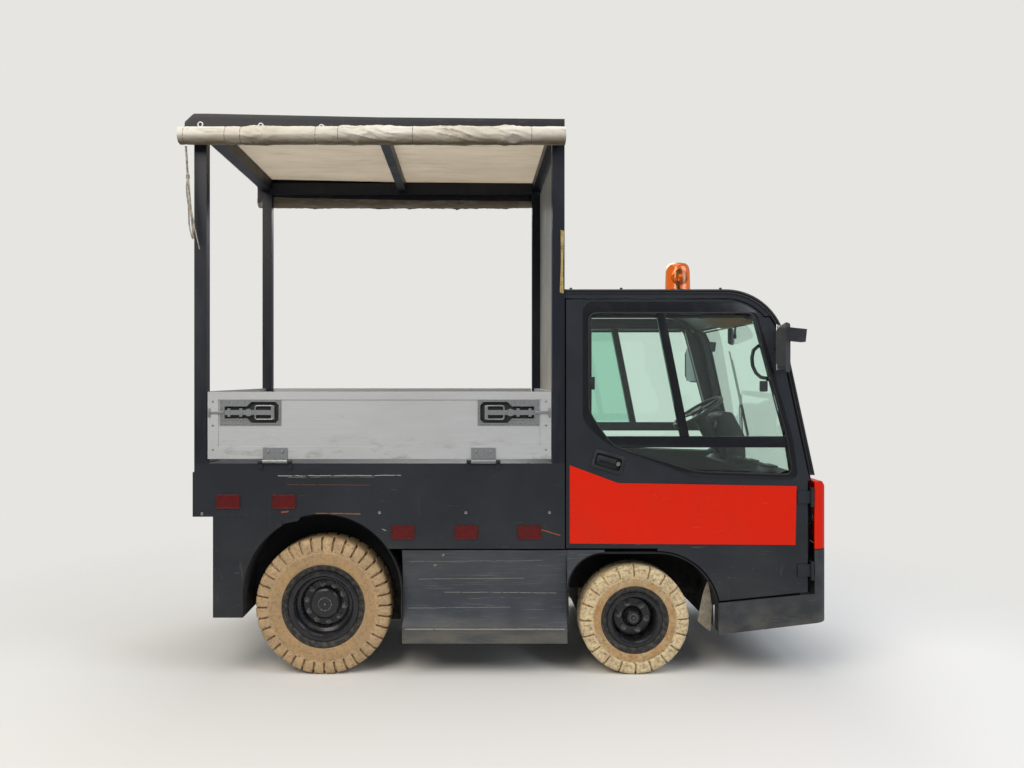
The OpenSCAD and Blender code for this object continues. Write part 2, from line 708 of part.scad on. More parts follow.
// fittings: latch plates with a lever in their pocket at a board's ends, and hinge straps at its foot
lever_z = 63;
lever_w = 24;
module latch() {
    // a plate with its pocket cut through, a raised rim round it, and the lever with its grip and catch
    rotate([90, 0, 0]) {
        translate([0, 0, fit - 4]) linear_extrude(latch_t - fit) difference() {
            square([latch_w, latch_h]);
            latch_pocket();
        }
        translate([0, 0, -1 - e]) linear_extrude(2 + e) difference() {
            latch_pocket(-6);
            latch_pocket();
        }
        translate([14, lever_z - lever_w / 2, fit - 4]) cube([30, lever_w, 2]);
        translate([24 + fit, lever_z - lever_w / 2, -8]) cube([240, lever_w, 6]);
        translate([250, lever_z - 34, -8]) cube([16, 68, 6]);
        translate([140, lever_z, -12]) cylinder(h = 12, r = 18);
        for (x = [38, 96]) translate([x, lever_z - 20, -10]) cube([14, 40, 9]);
    }
}
module fittings(l) {
    // placed as a board is: along x from 0 to l, outer face at y = 0
    both_ends(l) translate([latch_end, 0, latch_foot]) latch();
    for (x = [strap_end, l - strap_end - strap_w]) difference() {
        union() {
            translate([x, -4, -6]) cube([strap_w, 4 - fit, 60]);
            translate([x, -board_axis_out, board_axis_z - board_z - lug_r]) cube([strap_w,
                board_axis_out, 6]);
            translate([x, -board_axis_out, board_axis_z - board_z]) rotate([0, 90, 0])
                cylinder(h = strap_w, r = lug_r);
        }
        translate([x - e, -board_axis_out, board_axis_z - board_z]) rotate([0, 90, 0])
            cylinder(h = strap_w + 2 * e, r = board_pin_r + fit);
    }
}
module side_fittings() { translate([board_x0, -half_w, board_z]) fittings(board_x1 - board_x0); }
module fittings_right() { color("#9a9c9c") side_fittings(); }
module fittings_left() { color("#9a9c9c") mirror([0, 1, 0]) side_fittings(); }
module fittings_rear() { color("#9a9c9c") translate([post_x0, tail_y, board_z]) rotate(-90)
    fittings(2 * tail_y); }

// canopy posts at the bed's corners
module canopy_posts() {
    color("#24272b") both_sides() for (x = [post_x0, post_x1])
        block([x, -half_w, bed_z], [x + post_w, -post_in, post_z]);
}
// canopy top: rails on the posts and cross members, the rear one raised
// columns: place along the truck of a cross member's rear face, its width, its rise
top_members = [[post_x0, post_w, 26], [(post_x0 + post_x1 + post_w) / 2 - 25, 50, 8], [post_x1, post_w,
    0]];
module canopy_top() {
    z1 = post_z + top_rail_h;
    color("#24272b") union() {
        both_sides() block([post_x0, -half_w, post_z], [post_x1 + post_w, -post_in, z1]);
        for (m = top_members) block([m[0], -post_in - e, post_z + 20], [m[0] + m[1], post_in + e, z1]);
        for (m = top_members) if (m[2] > 0)
            block([m[0], -half_w + 6, z1 - e], [m[0] + m[1], half_w - 6, z1 + m[2]]);
    }
}
// roof sheet: tarpaulin stretched over the cross members, turned down along the sides
roof_line = [[deck_x0 - roll_over + 8, post_z + top_rail_h - 14], [post_x0 - 3,
    post_z + top_rail_h + 26 + fit],
    [post_x0 + post_w, post_z + top_rail_h + 26 + fit], [(post_x0 + post_x1 + post_w) / 2,
    post_z + top_rail_h + 8 + fit],
    [post_x1 + post_w, post_z + top_rail_h + fit]];
module roof_sheet() {
    flap_z = roll_z - 10;
    color("#b9bab4") union() {
        whole_width(deck_w + 2 * fit + 2) polygon(concat(roof_line,
            [for (i = [len(roof_line) - 1 : -1 : 0]) roof_line[i] + [0, sheet_t]]));
        both_sides() across(half_w + fit, sheet_t) polygon(concat([[roof_line[0].x, flap_z]],
            [for (p = roof_line) p + [0, sheet_t]], [[post_x1 + post_w, flap_z]]));
    }
}
// rolled side curtains outside the posts
roll_y = half_w + sheet_t + 2 * fit + roll_d / 2;
roll_z = post_z - 27;
roll_x0 = deck_x0 - roll_over;
roll_x1 = deck_x1 - 5;
module curtain_rolls() {
    color("#b5ae9f") both_sides() translate([roll_x0, -roll_y, roll_z]) rotate([0, 90, 0])
        cylinder(h = roll_x1 - roll_x0, r = roll_d / 2);
}
module front_curtain() {
    color("#9aa09e") block([deck_x1 - 12, -post_in + fit, bed_z + fit], [deck_x1 - 12 + sheet_t,
        post_in - fit, post_z]);
}

// tie strap: hangs from the right roll's rear end
strap_route = [[-1540, -703, 2574], [-1539, -703, 2550], [-1536, -703, 2510], [-1533, -704, 2460],
    [-1529, -704, 2410], [-1525, -703, 2360], [-1521, -702, 2310], [-1516, -702, 2260],
    [-1511, -701, 2210], [-1507, -701, 2165], [-1504, -701, 2130]];
strap_r = 5;
strap_sides = 8;
module tie_strap() {
    n = len(strap_route);
    color("#c9c4b6") polyhedron(
        points = [for (p = strap_route, k = [0 : strap_sides - 1])
            p + strap_r * [cos(k * 360 / strap_sides), sin(k * 360 / strap_sides), 0]],
        faces = concat([[for (k = [0 : strap_sides - 1]) k]],
            [for (i = [0 : n - 2], k = [0 : strap_sides - 1]) [i * strap_sides + k,
                (i + 1) * strap_sides + k, (i + 1) * strap_sides + (k + 1) % strap_sides,
                i * strap_sides + (k + 1) % strap_sides]],
            [[for (k = [strap_sides - 1 : -1 : 0]) (n - 1) * strap_sides + k]]));
}

// cab floor: over the front wheels, down their front curve and along the foot well
arch_low = 220;
well_wall_y = 292;
well_wall_low = 345;
seat_base_w = 380;
seat_base_l = 400;
module cab_floor() {
    well_x = front_axle_x + front_arch_cx;
    well_z = well_top - front_arch_r1;
    foot_x = well_x + sqrt(pow(front_arch_r1 + floor_t / 2, 2) - pow(floor_z - well_z, 2));
    color("#2c2d2f") union() {
        whole_width(2 * frame_out) {
            translate([deck_x1, well_top]) square([well_x - deck_x1, floor_t]);
            intersection() {
                translate([well_x, well_z]) difference() {
                    circle(front_arch_r1 + floor_t);
                    circle(front_arch_r1);
                }
                translate([well_x - e, floor_z]) square([front_arch_r1 + floor_t + e, well_top]);
            }
            translate([foot_x, floor_z]) square([cab_x1 - front_wall_t - fit - foot_x, floor_t]);
        }
        both_sides() block([seat_x0, -seat_y - seat_base_w / 2, well_top + floor_t - e],
            [seat_x0 + seat_base_l, -seat_y + seat_base_w / 2, seat_z]);
        both_sides() across(frame_out - e, door_out - 2 - frame_out + e) difference() {
            front_arch(0);
            front_arch(-floor_t);
            translate([0, arch_low - 2 * arch_top]) square([cab_x1, 2 * arch_top]);
        }
        both_sides() across(well_wall_y, floor_t) intersection() {
            union() {
                translate([arch_x0, well_wall_low]) square([well_x - arch_x0,
                    well_top + e - well_wall_low]);
                translate([well_x, well_z]) circle(front_arch_r1 + e);
            }
            translate([arch_x0, well_wall_low]) square([cab_x1, well_top]);
        }
    }
}

// cab frame: rear wall with its window, side frames round the doors and the front wall
rear_win = [[-430, 1110], [430, 1790]];
front_wall_t = 10;
roof_edge_angle = 34;
module roof_section(grow = 0) {
    difference() {
        cab_outline(0);
        translate([roof_cx, roof_cz]) circle(roof_r - roof_t - grow);
        translate([deck_x1 - e, -e]) square([roof_cx - deck_x1 + e, cab_z - roof_t - grow + e]);
        translate([roof_cx, -e]) square([cab_len, roof_cz + roof_r * sin(roof_edge_angle) - grow + e]);
    }
}
// columns: height of a door hinge's middle
door_hinges = [879, 521];
hinge_h = 60;
hinge_r = 8;
hinge_pin_r = 5;
module cab_frame() {
    rear_t = 38;
    color("#2a2d33") union() {
        both_sides() across(frame_in, pillar_w) difference() {
            union() {
                difference() {
                    cab_outline(2);
                    cab_outline(pillar_w);
                    translate([0, -e]) square([cab_x1 - 80, belt_z]);
                }
                translate([deck_x1, well_top]) square([rear_t, door_top - well_top]);
                translate([cab_x1 - 60, floor_z]) square([60 - front_wall_t, belt_z - floor_z]);
            }
            roof_section(fit);
            translate([0, -e]) square([cab_x1 - 80, well_top + floor_t + e]);
            translate([cab_x1 - 80, -e]) square([90, floor_z + floor_t + e]);
            translate([deck_x1 + rear_t, 0]) square([cab_len / 2, cab_z * 0.9]);
        }
        both_sides() across(frame_out - e, door_out - frame_out + e) difference() {
            cab_outline(0);
            cab_outline(24);
            roof_section(fit);
            translate([0, -e]) square([roof_cx + 100, cab_z + 2 * e]);
            translate([0, -e]) square([2 * cab_x1, belt_z + 30]);
        }
        difference() {
            block([deck_x1, -frame_out, well_top + floor_t], [deck_x1 + rear_t, frame_out, door_top]);
            block([deck_x1 - e, rear_win[0].x, rear_win[0].y], [deck_x1 + rear_t + e, rear_win[1].x,
                rear_win[1].y]);
        }
        block([cab_x1 - front_wall_t, -frame_out, floor_z], [cab_x1, frame_out, belt_z]);
        both_sides() for (z = door_hinges) {
            for (side = [-1, 1]) translate([0, 0, z + side * (hinge_h / 2 + 8)]) {
                translate([hinge_x, -hinge_y, -7.5]) cylinder(h = 15, r = hinge_r);
                block([hinge_x - 6, -hinge_y, -7.5], [hinge_x + 6, -frame_out + e, 7.5]);
            }
            translate([hinge_x, -hinge_y, z - hinge_h / 2 - 12]) cylinder(h = hinge_h + 24,
                r = hinge_pin_r);
        }
    }
}

// cab roof with its rounded front edge and the beacon's foot
beacon_back = 65;
beacon_x = roof_cx - beacon_back;
beacon_foot_h = 42;
module cab_roof() {
    color("#25282d") union() {
        whole_width(2 * door_out) roof_section();
        translate([beacon_x, 0, cab_z - e]) cylinder(h = beacon_foot_h + e, r = beacon_d / 2 - 4);
    }
}
module beacon_dome() {
    color("#d86a10") translate([beacon_x, 0, cab_z + beacon_foot_h + fit]) rotate_extrude() polygon([[0,
        0], [beacon_d / 2, 0],
        [beacon_d / 2, 12], [beacon_d / 2 - 5, 18], [beacon_d / 2 - 9, beacon_h - 70],
        [beacon_d / 2 - 22, beacon_h - 48],
        [0, beacon_h - 42]]);
}

// nose: hollow front panel with chamfered top and rounded corners
module plan_outline(inset, x0) {
    // front end of the truck seen from above, rounded at the corners
    r = 60;
    x1 = nose_x - inset;
    w = half_w - inset;
    translate([x0, -w]) square([x1 - r - x0, 2 * w]);
    translate([x1 - r - e, -w + r]) square([r + e, 2 * (w - r)]);
    for (s = [-1, 1]) translate([x1 - r, s * (w - r)]) circle(r);
}
nose_low = skirt_low_front;
lamp_r = 72;
lamp_at = [430, 770];
module cab_nose() {
    color("#da260a") intersection() {
        difference() {
            translate([0, 0, nose_low]) linear_extrude(belt_z - nose_low) plan_outline(0, cab_x1 + fit);
            translate([0, 0, nose_low - e]) linear_extrude(belt_z - nose_low - 8) plan_outline(8,
                cab_x1 - e);
            both_sides() translate([nose_x - 20, -lamp_at.x, lamp_at.y]) rotate([0, 90, 0])
                cylinder(h = 40, r = lamp_r + fit);
        }
        whole_width(2 * deck_w) polygon([[cab_x1, 0], [nose_x + e, 0], [nose_x + e, belt_z - 34],
            [nose_x - 30, belt_z],
            [cab_x1, belt_z]]);
    }
}

// bumper: apron round the front end, below the nose and the doors
apron_ahead = 750;
apron_low = 209;
apron_low_nose = 273;
apron_x0 = deck_x1 + apron_ahead;
module bumper() {
    color("#26292d") difference() {
        intersection() {
            linear_extrude(belt_z) plan_outline(0, apron_x0);
            whole_width(2 * deck_w) polygon([[apron_x0, apron_low], [nose_x + e, apron_low_nose],
                [nose_x + e, nose_low - 4],
                [cab_x1 + fit, nose_low - 4], [cab_x1 + fit, door_low_nose - 8], [apron_x0,
                door_low_front - 8]]);
        }
        translate([0, 0, -e]) linear_extrude(belt_z + 2 * e) plan_outline(apron_t, apron_x0 - e);
    }
}

// cab glass: windscreen between the pillars and the rear window
module cab_glass() {
    color("#a5d2c3") {
        whole_width(2 * frame_in - 2 * fit) difference() {
            cab_outline(8);
            cab_outline(8 + glass_t);
            translate([0, -e]) square([roof_cx + 50, cab_z + 2 * e]);
            translate([roof_cx, -e]) square([cab_len, belt_z + 2 + e]);
            translate([roof_cx, roof_cz + roof_r * sin(roof_edge_angle) - 2]) square([cab_len, roof_r]);
        }
        block([deck_x1 + 14, rear_win[0].x + fit, rear_win[0].y + fit],
            [deck_x1 + 14 + glass_t, rear_win[1].x - fit, rear_win[1].y - fit]);
    }
}

module headlamps() {
    color("#d8dde0") both_sides() translate([nose_x - 12, -lamp_at.x, lamp_at.y]) rotate([0, 90, 0])
        cylinder(h = 11, r = lamp_r);
}

// doors: hinged at the front edge, cut round the front wheel, with a glazed upper half
// a door's outline points from a table; columns: the cab's wall that the point keeps to, distance ahead of
// that wall, height
function cab_points(table) = [for (p = table) [(p[0] == "rear" ? deck_x1 : cab_x1) + p[1], p[2]]];
window_points = [["rear", 118, 1778], ["front", -293, 1778], ["front", -133, 1172],
    ["front", -104, 988], ["rear", 643, 1003], ["rear", 258, 1120], ["rear", 210, 1160],
    ["rear", 118, 1295]];
window_outline = cab_points(window_points);
bar_z = 1120;
bar_h = 54;
divider_w = 40;
divider = [[deck_x1 + 471, 1778], [deck_x1 + 591, 1174]];
handle_at = [deck_x1 + 213, 1050];
module door_outline() {
    difference() {
        intersection() {
            cab_outline(30);
            polygon([[door_x0, door_top], [door_x0, door_low], [front_axle_x + front_arch_cx, door_low],
                [front_axle_x + front_arch_cx, door_low_front], [apron_x0, door_low_front],
                [door_x1, door_low_nose], [door_x1, door_top]]);
        }
        front_arch(6);
        roof_section(6);
    }
}
module window_divider(grow = 0) {
    lean = divider[0] - divider[1];
    w = divider_w / 2 + grow;
    top = divider[0] + lean * 0.05;
    foot = divider[1] - lean * 0.05;
    polygon([top - [w, 0], top + [w, 0], foot + [w, 0], foot - [w, 0]]);
}
module door() {
    color("#2a2d33") difference() {
        union() {
            across(door_in, door_t) difference() {
                door_outline();
                polygon(window_outline);
            }
            across(door_in + 8, door_t - 16) intersection() {
                polygon(window_outline);
                union() {
                    translate([deck_x1, bar_z]) square([cab_len, bar_h]);
                    window_divider();
                }
            }
            for (z = door_hinges) {
                translate([hinge_x, -hinge_y, z - hinge_h / 2]) cylinder(h = hinge_h, r = hinge_r);
                block([hinge_x - 70, -door_out - 6, z - hinge_h / 2], [hinge_x, -door_out + e,
                    z + hinge_h / 2]);
            }
        }
        for (z = door_hinges) translate([hinge_x, -hinge_y, z - hinge_h]) cylinder(h = 2 * hinge_h,
            r = hinge_pin_r + fit);
        translate([handle_at.x, -door_out, handle_at.y]) rotate([0, 16, 0]) cube([132, 30, 66],
            center = true);
    }
}
module door_right() { door(); }
module door_left() { mirror([0, 1, 0]) door(); }
// door panels: red skins on the doors' lower half
panel_points = [["rear", 25, 1034], ["rear", 260, 947], ["front", -85, 932], ["front", -91, 645],
    ["rear", 25, 652]];
door_panel_t = 2;
module door_panel() {
    color("#da2a0c") across(door_out, door_panel_t) polygon(cab_points(panel_points));
}
module door_panel_right() { door_panel(); }
module door_panel_left() { mirror([0, 1, 0]) door_panel(); }
module door_glass() {
    color("#a5d2c3") across(door_in + door_t / 2 - glass_t / 2, glass_t) difference() {
        offset(delta = -fit) polygon(window_outline);
        translate([deck_x1, bar_z - fit]) square([cab_len, bar_h + 2 * fit]);
        window_divider(fit);
    }
}
module door_glass_right() { door_glass(); }
module door_glass_left() { mirror([0, 1, 0]) door_glass(); }

// mirrors: a turned housing on an arm from each door's front upper corner, and a lamp block ahead
mirror_x = cab_x1 - 183;
mirror_z = 1606;
mirror_w = 150;
mirror_h = 236;
mirror_d = 44;
mirror_out = 84;
module mirror_head(turn, rise) {
    // the right side's mirror, its glass turned inwards from straight back by an angle
    color("#1c1d20") union() {
        shaft(mirror_x, mirror_z + rise, door_out + fit, door_out + mirror_out, 12);
        translate([mirror_x, -door_out - mirror_out, mirror_z + rise]) rotate([0, 0, turn]) difference() {
            intersection() {
                translate([-mirror_d / 2, -mirror_w / 2, -mirror_h / 2]) cube([mirror_d, mirror_w,
                    mirror_h]);
                rotate([90, 0, 0]) translate([120 - mirror_d / 2, 0, -mirror_w])
                    cylinder(h = 2 * mirror_w, r = 140);
                rotate([0, 90, 0]) translate([0, 0, -mirror_d]) linear_extrude(2 * mirror_d) union() {
                    square([mirror_h - 60, mirror_w], center = true);
                    square([mirror_h, mirror_w - 60], center = true);
                    for (i = [-1, 1], k = [-1, 1]) translate([i * (mirror_h / 2 - 30),
                        k * (mirror_w / 2 - 30)]) circle(30);
                }
            }
            translate([-mirror_d / 2 - e, -mirror_w / 2 + 8, -mirror_h / 2 + 8]) cube([4 + e,
                mirror_w - 16, mirror_h - 16]);
        }
        translate([mirror_x, -door_out, mirror_z + 70]) rotate([0, 6, 0]) {
            translate([0, -64, -12]) cube([40, 64 - fit, 24]);
            translate([22, -78, -31]) cube([92, 56, 62]);
        }
    }
}
module mirror_right() { mirror_head(-30, 0); }
module mirror_left() { mirror([0, 1, 0]) mirror_head(-40, -58); }

// seats: cushion and back of the driver's and the passenger's seat
seat_ahead = 120;
seat_x0 = deck_x1 + seat_ahead;
// columns: distance ahead of the seat's base, height above the seat's underside
seat_profile = [[23, fit], [453, fit], [473, 30], [463, 100], [153, 90], [63, 410], [-7, 410], [-22, 380]];
module seats() {
    color("#232427") both_sides() across(seat_y - seat_w / 2, seat_w) translate([seat_x0, seat_z])
        polygon(seat_profile);
}

// dashboard with the steering column
column_back = 299;
column_x = cab_x1 - column_back;
column_z = 1254;
column_lean = 32.5;
// columns: distance behind the cab's front wall, height from the belt line
dash_profile = [[170, -97], [180, 3], [90, 43], [12, -10], [12, -197], [60, -197]];
module dashboard() {
    color("#303236") union() {
        whole_width(2 * frame_in - 2 * fit) polygon([for (p = dash_profile) [cab_x1 - p.x, belt_z + p.y]]);
        translate([column_x, seat_y, column_z]) rotate([0, -column_lean, 0]) {
            translate([0, 0, -wheel_d * 0.97]) cylinder(h = wheel_d * 0.88, r = 34);
            translate([0, 0, -60]) cylinder(h = 52, r = 12);
        }
    }
}
module steering_wheel() {
    color("#1b1c1e") translate([column_x, seat_y, column_z]) rotate([0, -column_lean, 0]) union() {
        rotate_extrude() translate([wheel_d / 2 - 13, 0]) circle(13);
        translate([0, 0, -7]) cylinder(h = 24, r = 42);
        for (a = [0, 120, 240]) rotate(a) translate([30, -14, -5]) cube([wheel_d / 2 - 42, 28, 10]);
    }
}

chassis();
bearers();
battery();
rear_axle();
front_axle();
knuckle_right();
knuckle_left();
tie_rod();
rim_rear_right();
rim_rear_left();
rim_front_right();
rim_front_left();
tyre_rear_right();
tyre_rear_left();
tyre_front_right();
tyre_front_left();
skirts();
fenders();
arch_liners();
arch_walls();
steps();
rear_panel();
red_lenses();
tow_coupling();
load_bed();
front_board();
dropside_right();
dropside_left();
tailboard();
fittings_right();
fittings_left();
fittings_rear();
canopy_posts();
canopy_top();
roof_sheet();
curtain_rolls();
front_curtain();
tie_strap();
cab_floor();
cab_frame();
cab_roof();
cab_nose();
bumper();
cab_glass();
headlamps();
beacon_dome();
door_right();
door_left();
door_panel_right();
door_panel_left();
door_glass_right();
door_glass_left();
mirror_right();
mirror_left();
seats();
dashboard();
steering_wheel();
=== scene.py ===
"""Looks of an electric platform truck with a two-door cab, dropsides and a tarpaulin canopy."""

import math

import bpy
from mathutils import Matrix, Vector, noise


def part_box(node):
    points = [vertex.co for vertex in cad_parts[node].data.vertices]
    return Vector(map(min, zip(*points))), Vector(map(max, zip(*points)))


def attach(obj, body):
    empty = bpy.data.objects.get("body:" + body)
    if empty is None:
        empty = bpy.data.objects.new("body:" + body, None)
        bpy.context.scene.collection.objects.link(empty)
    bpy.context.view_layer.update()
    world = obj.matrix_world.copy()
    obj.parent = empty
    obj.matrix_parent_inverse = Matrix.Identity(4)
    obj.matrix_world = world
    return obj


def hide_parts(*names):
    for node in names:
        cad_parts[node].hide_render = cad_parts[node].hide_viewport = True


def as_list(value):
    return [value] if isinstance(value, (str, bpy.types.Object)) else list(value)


bl_info = {
    "name": "Electric platform truck looks",
    "version": (1, 0, 0),
    "blender": (4, 5, 0),
    "location": "View3D > Sidebar > Truck",
    "description": "Dresses the packed truck: tyres, glass, seals, boards, canopy cloth, seats and finishes",
    "category": "Object",
}

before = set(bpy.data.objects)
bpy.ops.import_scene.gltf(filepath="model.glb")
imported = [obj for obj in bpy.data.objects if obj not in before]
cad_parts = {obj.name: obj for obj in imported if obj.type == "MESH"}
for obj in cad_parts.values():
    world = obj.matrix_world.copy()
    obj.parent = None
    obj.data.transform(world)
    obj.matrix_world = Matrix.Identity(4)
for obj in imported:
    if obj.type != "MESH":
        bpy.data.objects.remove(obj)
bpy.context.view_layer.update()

MM = 0.001
SIDES = {"right": -1, "left": 1}
DOORS = ("door_right", "door_left")
TO_OTHER_SIDE = Matrix.Scale(-1, 4, (0, 1, 0))
OUT = Vector((0, -1, 0))

# Places that several pieces share, in metres
SKIRT_Y = 0.650
DOOR_Y = 0.640
REAR_AXLE = Vector((-0.897, 0.530, 0.336))
FRONT_AXLE = Vector((0.6355, 0.545, 0.270))
CAB_BACK_X = 0.287
CAB_TOP_Z = 1.894
ROOF_CENTRE = Vector((1.073, 0.0, 1.596))
ROOF_RADIUS = 0.298
SCREEN_LEAN = math.radians(12.2)
DECK_REAR_X = -1.527
SCREEN_TOP_X = ROOF_CENTRE.x + ROOF_RADIUS * math.cos(SCREEN_LEAN)
SCREEN_TOP_Z = ROOF_CENTRE.z + ROOF_RADIUS * math.sin(SCREEN_LEAN)


def screen_x(z, inset=0.0):
    """Place along the truck of the windscreen's outer face at a height."""
    return SCREEN_TOP_X + (SCREEN_TOP_Z - z) * math.tan(SCREEN_LEAN) - inset


class TruckSizes(bpy.types.PropertyGroup):
    """Sizes of the pieces that the scene adds."""

    lug_depth: bpy.props.FloatProperty(
        name="Lug depth", description="Depth of the gaps between the tyres' lugs",
        default=14 * MM, min=4 * MM, max=16 * MM, unit="LENGTH")
    seal_width: bpy.props.FloatProperty(
        name="Seal width", description="Width of the rubber lip round the door windows",
        default=9 * MM, min=5 * MM, max=14 * MM, unit="LENGTH")
    cloth_thickness: bpy.props.FloatProperty(
        name="Cloth thickness", description="Thickness of the coated canopy cloth",
        default=1.2 * MM, min=0.6 * MM, max=3 * MM, unit="LENGTH")
    nut_width: bpy.props.FloatProperty(
        name="Wheel nut width", description="Width of a wheel nut across its corners",
        default=27 * MM, min=20 * MM, max=34 * MM, unit="LENGTH")


class TruckColours(bpy.types.PropertyGroup):
    """Colours of the truck's main finishes, as sRGB hex values."""

    body: bpy.props.StringProperty(
        name="Body", description="Powder coat of skirts, doors and fenders", default="#1f2227")
    accent: bpy.props.StringProperty(
        name="Accent", description="Gloss enamel of the nose and the door panels", default="#d81f02")
    rear_tyre: bpy.props.StringProperty(
        name="Rear tyre", description="Non-marking rubber of the rear tyres", default="#bd9f78")
    front_tyre: bpy.props.StringProperty(
        name="Front tyre", description="Non-marking rubber of the front tyres", default="#d9c59c")
    cloth: bpy.props.StringProperty(
        name="Canopy cloth", description="Coated cloth of the roof and the curtains", default="#b9aea1")


# Modelling helpers

def only(*pieces):
    """Selects these pieces and nothing else."""
    bpy.ops.object.select_all(action="DESELECT")
    for piece in pieces:
        piece.select_set(True)
    bpy.context.view_layer.objects.active = pieces[0]


def settle(piece):
    """Applies a piece's place, turn and scale, so that they are in its mesh."""
    only(piece)
    bpy.ops.object.transform_apply(location=True, rotation=True, scale=True)
    return piece


def apply_modifier(piece, kind, **settings):
    """Adds a modifier, sets it and applies it."""
    only(piece)
    modifier = piece.modifiers.new(kind.lower(), kind)
    for key, value in settings.items():
        setattr(modifier, key, value)
    bpy.ops.object.modifier_apply(modifier=modifier.name)
    return piece


def round_edges(piece, width, segments=2, angle=35):
    """Rounds the edges that are sharper than an angle in degrees."""
    return apply_modifier(piece, "BEVEL", width=width, segments=segments, limit_method="ANGLE",
                          angle_limit=math.radians(angle), harden_normals=False)


def recalculate(piece):
    """Merges doubles and turns all faces outwards."""
    only(piece)
    bpy.ops.object.mode_set(mode="EDIT")
    bpy.ops.mesh.select_all(action="SELECT")
    bpy.ops.mesh.remove_doubles(threshold=0.00001)
    bpy.ops.mesh.normals_make_consistent(inside=False)
    bpy.ops.object.mode_set(mode="OBJECT")
    return piece


def box(name, low, high, rounded=0.0, segments=2):
    """A box between two corners, with rounded edges."""
    low, high = Vector(low), Vector(high)
    bpy.ops.mesh.primitive_cube_add(size=1.0, location=(low + high) / 2)
    piece = bpy.context.object
    piece.name = name
    piece.scale = high - low
    settle(piece)
    if rounded:
        round_edges(piece, rounded, segments)
    return piece


def rod(name, start, end, radius, sides=24, rounded=0.0, end_radius=None):
    """A rod or a cone between two points."""
    start, end = Vector(start), Vector(end)
    bpy.ops.mesh.primitive_cone_add(
        vertices=sides, radius1=radius, radius2=radius if end_radius is None else end_radius,
        depth=(end - start).length, location=(start + end) / 2,
        rotation=(end - start).to_track_quat("Z", "Y").to_euler())
    piece = bpy.context.object
    piece.name = name
    settle(piece)
    if rounded:
        round_edges(piece, rounded, 2, 50)
    return piece


def curve_mesh(name, lines, closed, flat, **settings):
    """A mesh made from a curve that has a section or a fill."""
    curve = bpy.data.curves.new(name, "CURVE")
    curve.dimensions = "2D" if flat else "3D"
    for line in lines:
        spline = curve.splines.new("POLY")
        spline.points.add(len(line) - 1)
        for point, place in zip(spline.points, line):
            point.co = (*place, 0.0, 1.0) if flat else (*place, 1.0)
        spline.use_cyclic_u = closed
    for key, value in settings.items():
        setattr(curve, key, value)
    piece = bpy.data.objects.new(name, curve)
    bpy.context.scene.collection.objects.link(piece)
    only(piece)
    bpy.ops.object.convert(target="MESH")
    return bpy.context.object


def plate(name, outlines, y, thickness, rounded=0.0):
    """A plate drawn by outlines of (x, z) points, later ones cut out, on the plane y on the right side."""
    piece = curve_mesh(name, outlines, True, True, fill_mode="BOTH", extrude=thickness / 2 - rounded,
                       bevel_depth=rounded, bevel_resolution=1, offset=-rounded)
    piece.rotation_euler = (math.radians(90), 0, 0)
    piece.location = (0, -(y + thickness / 2), 0)
    settle(piece)
    return recalculate(piece)


def tube(name, points, radius, closed=False, sides=3):
    """A round bar or hose along points."""
    return curve_mesh(name, [points], closed, False, bevel_depth=radius, bevel_resolution=sides,
                      use_fill_caps=True)


def lathe(name, profile, centre, steps, closed=False, turn=(0, 0, 0)):
    """A shape turned about an axis that runs across the truck, or another way by a turn of it.

    The profile has (radius, distance) points."""
    points = [(radius, distance, 0.0) for radius, distance in profile]
    piece = curve_mesh(name, [points], closed, False)
    apply_modifier(piece, "SCREW", axis="Y", steps=steps, render_steps=steps, angle=math.tau,
                   use_merge_vertices=True, merge_threshold=0.01 * MM, use_normal_calculate=True)
    piece.rotation_euler = turn
    piece.location = centre
    settle(piece)
    return recalculate(piece)


def copy_of(piece, name, matrix):
    """A copy with its own mesh, moved by a matrix."""
    twin = piece.copy()
    twin.data = piece.data.copy()
    twin.name = name
    bpy.context.scene.collection.objects.link(twin)
    twin.data.transform(matrix)
    if matrix.determinant() < 0:
        twin.data.flip_normals()
    return twin


def move_over(piece):
    """Moves a piece itself to the other side."""
    piece.data.transform(TO_OTHER_SIDE)
    piece.data.flip_normals()


def other_side(piece, name):
    """The same piece on the left side."""
    return copy_of(piece, name, TO_OTHER_SIDE)


def turn_about(centre, angle, axis):
    """A turn by an angle about an axis through a centre."""
    centre = Vector(centre)
    return Matrix.Translation(centre) @ Matrix.Rotation(angle, 4, axis) @ Matrix.Translation(-centre)


def turned_copies(piece, count, centre, first):
    """Copies of a piece set round a wheel's centre from a first angle in degrees, joined in one mesh."""
    copies = [copy_of(piece, piece.name, turn_about(centre, i * math.tau / count, "Y"))
              for i in range(1, count)]
    joined = join(piece.name, [piece, *copies])
    joined.data.transform(turn_about(centre, math.radians(first), "Y"))
    return joined


def join(name, pieces):
    """Several pieces as one mesh."""
    only(*pieces)
    if len(pieces) > 1:
        bpy.ops.object.join()
    piece = bpy.context.object
    piece.name = name
    return piece


def finish_piece(piece, body, key, smooth=35):
    """Shades a piece, gives it the material of a short name and lets it ride on a body."""
    piece.data.materials.clear()
    piece.data.materials.append(MATERIALS[key])
    only(piece)
    bpy.ops.object.shade_smooth_by_angle(angle=math.radians(smooth))
    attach(piece, body)
    return piece


def both_sides(right, key, smooth=35, bodies=("truck", "truck")):
    """Finishes a piece of the right side and its twin on the left side, and gives both."""
    pair = (right, other_side(right, right.name.replace("right", "left")))
    for piece, body in zip(pair, bodies):
        finish_piece(piece, body, key, smooth)
    return pair


def dress(node, key):
    """Gives a CAD node the material of a short name."""
    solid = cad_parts[node]
    solid.data.materials.clear()
    solid.data.materials.append(MATERIALS[key])


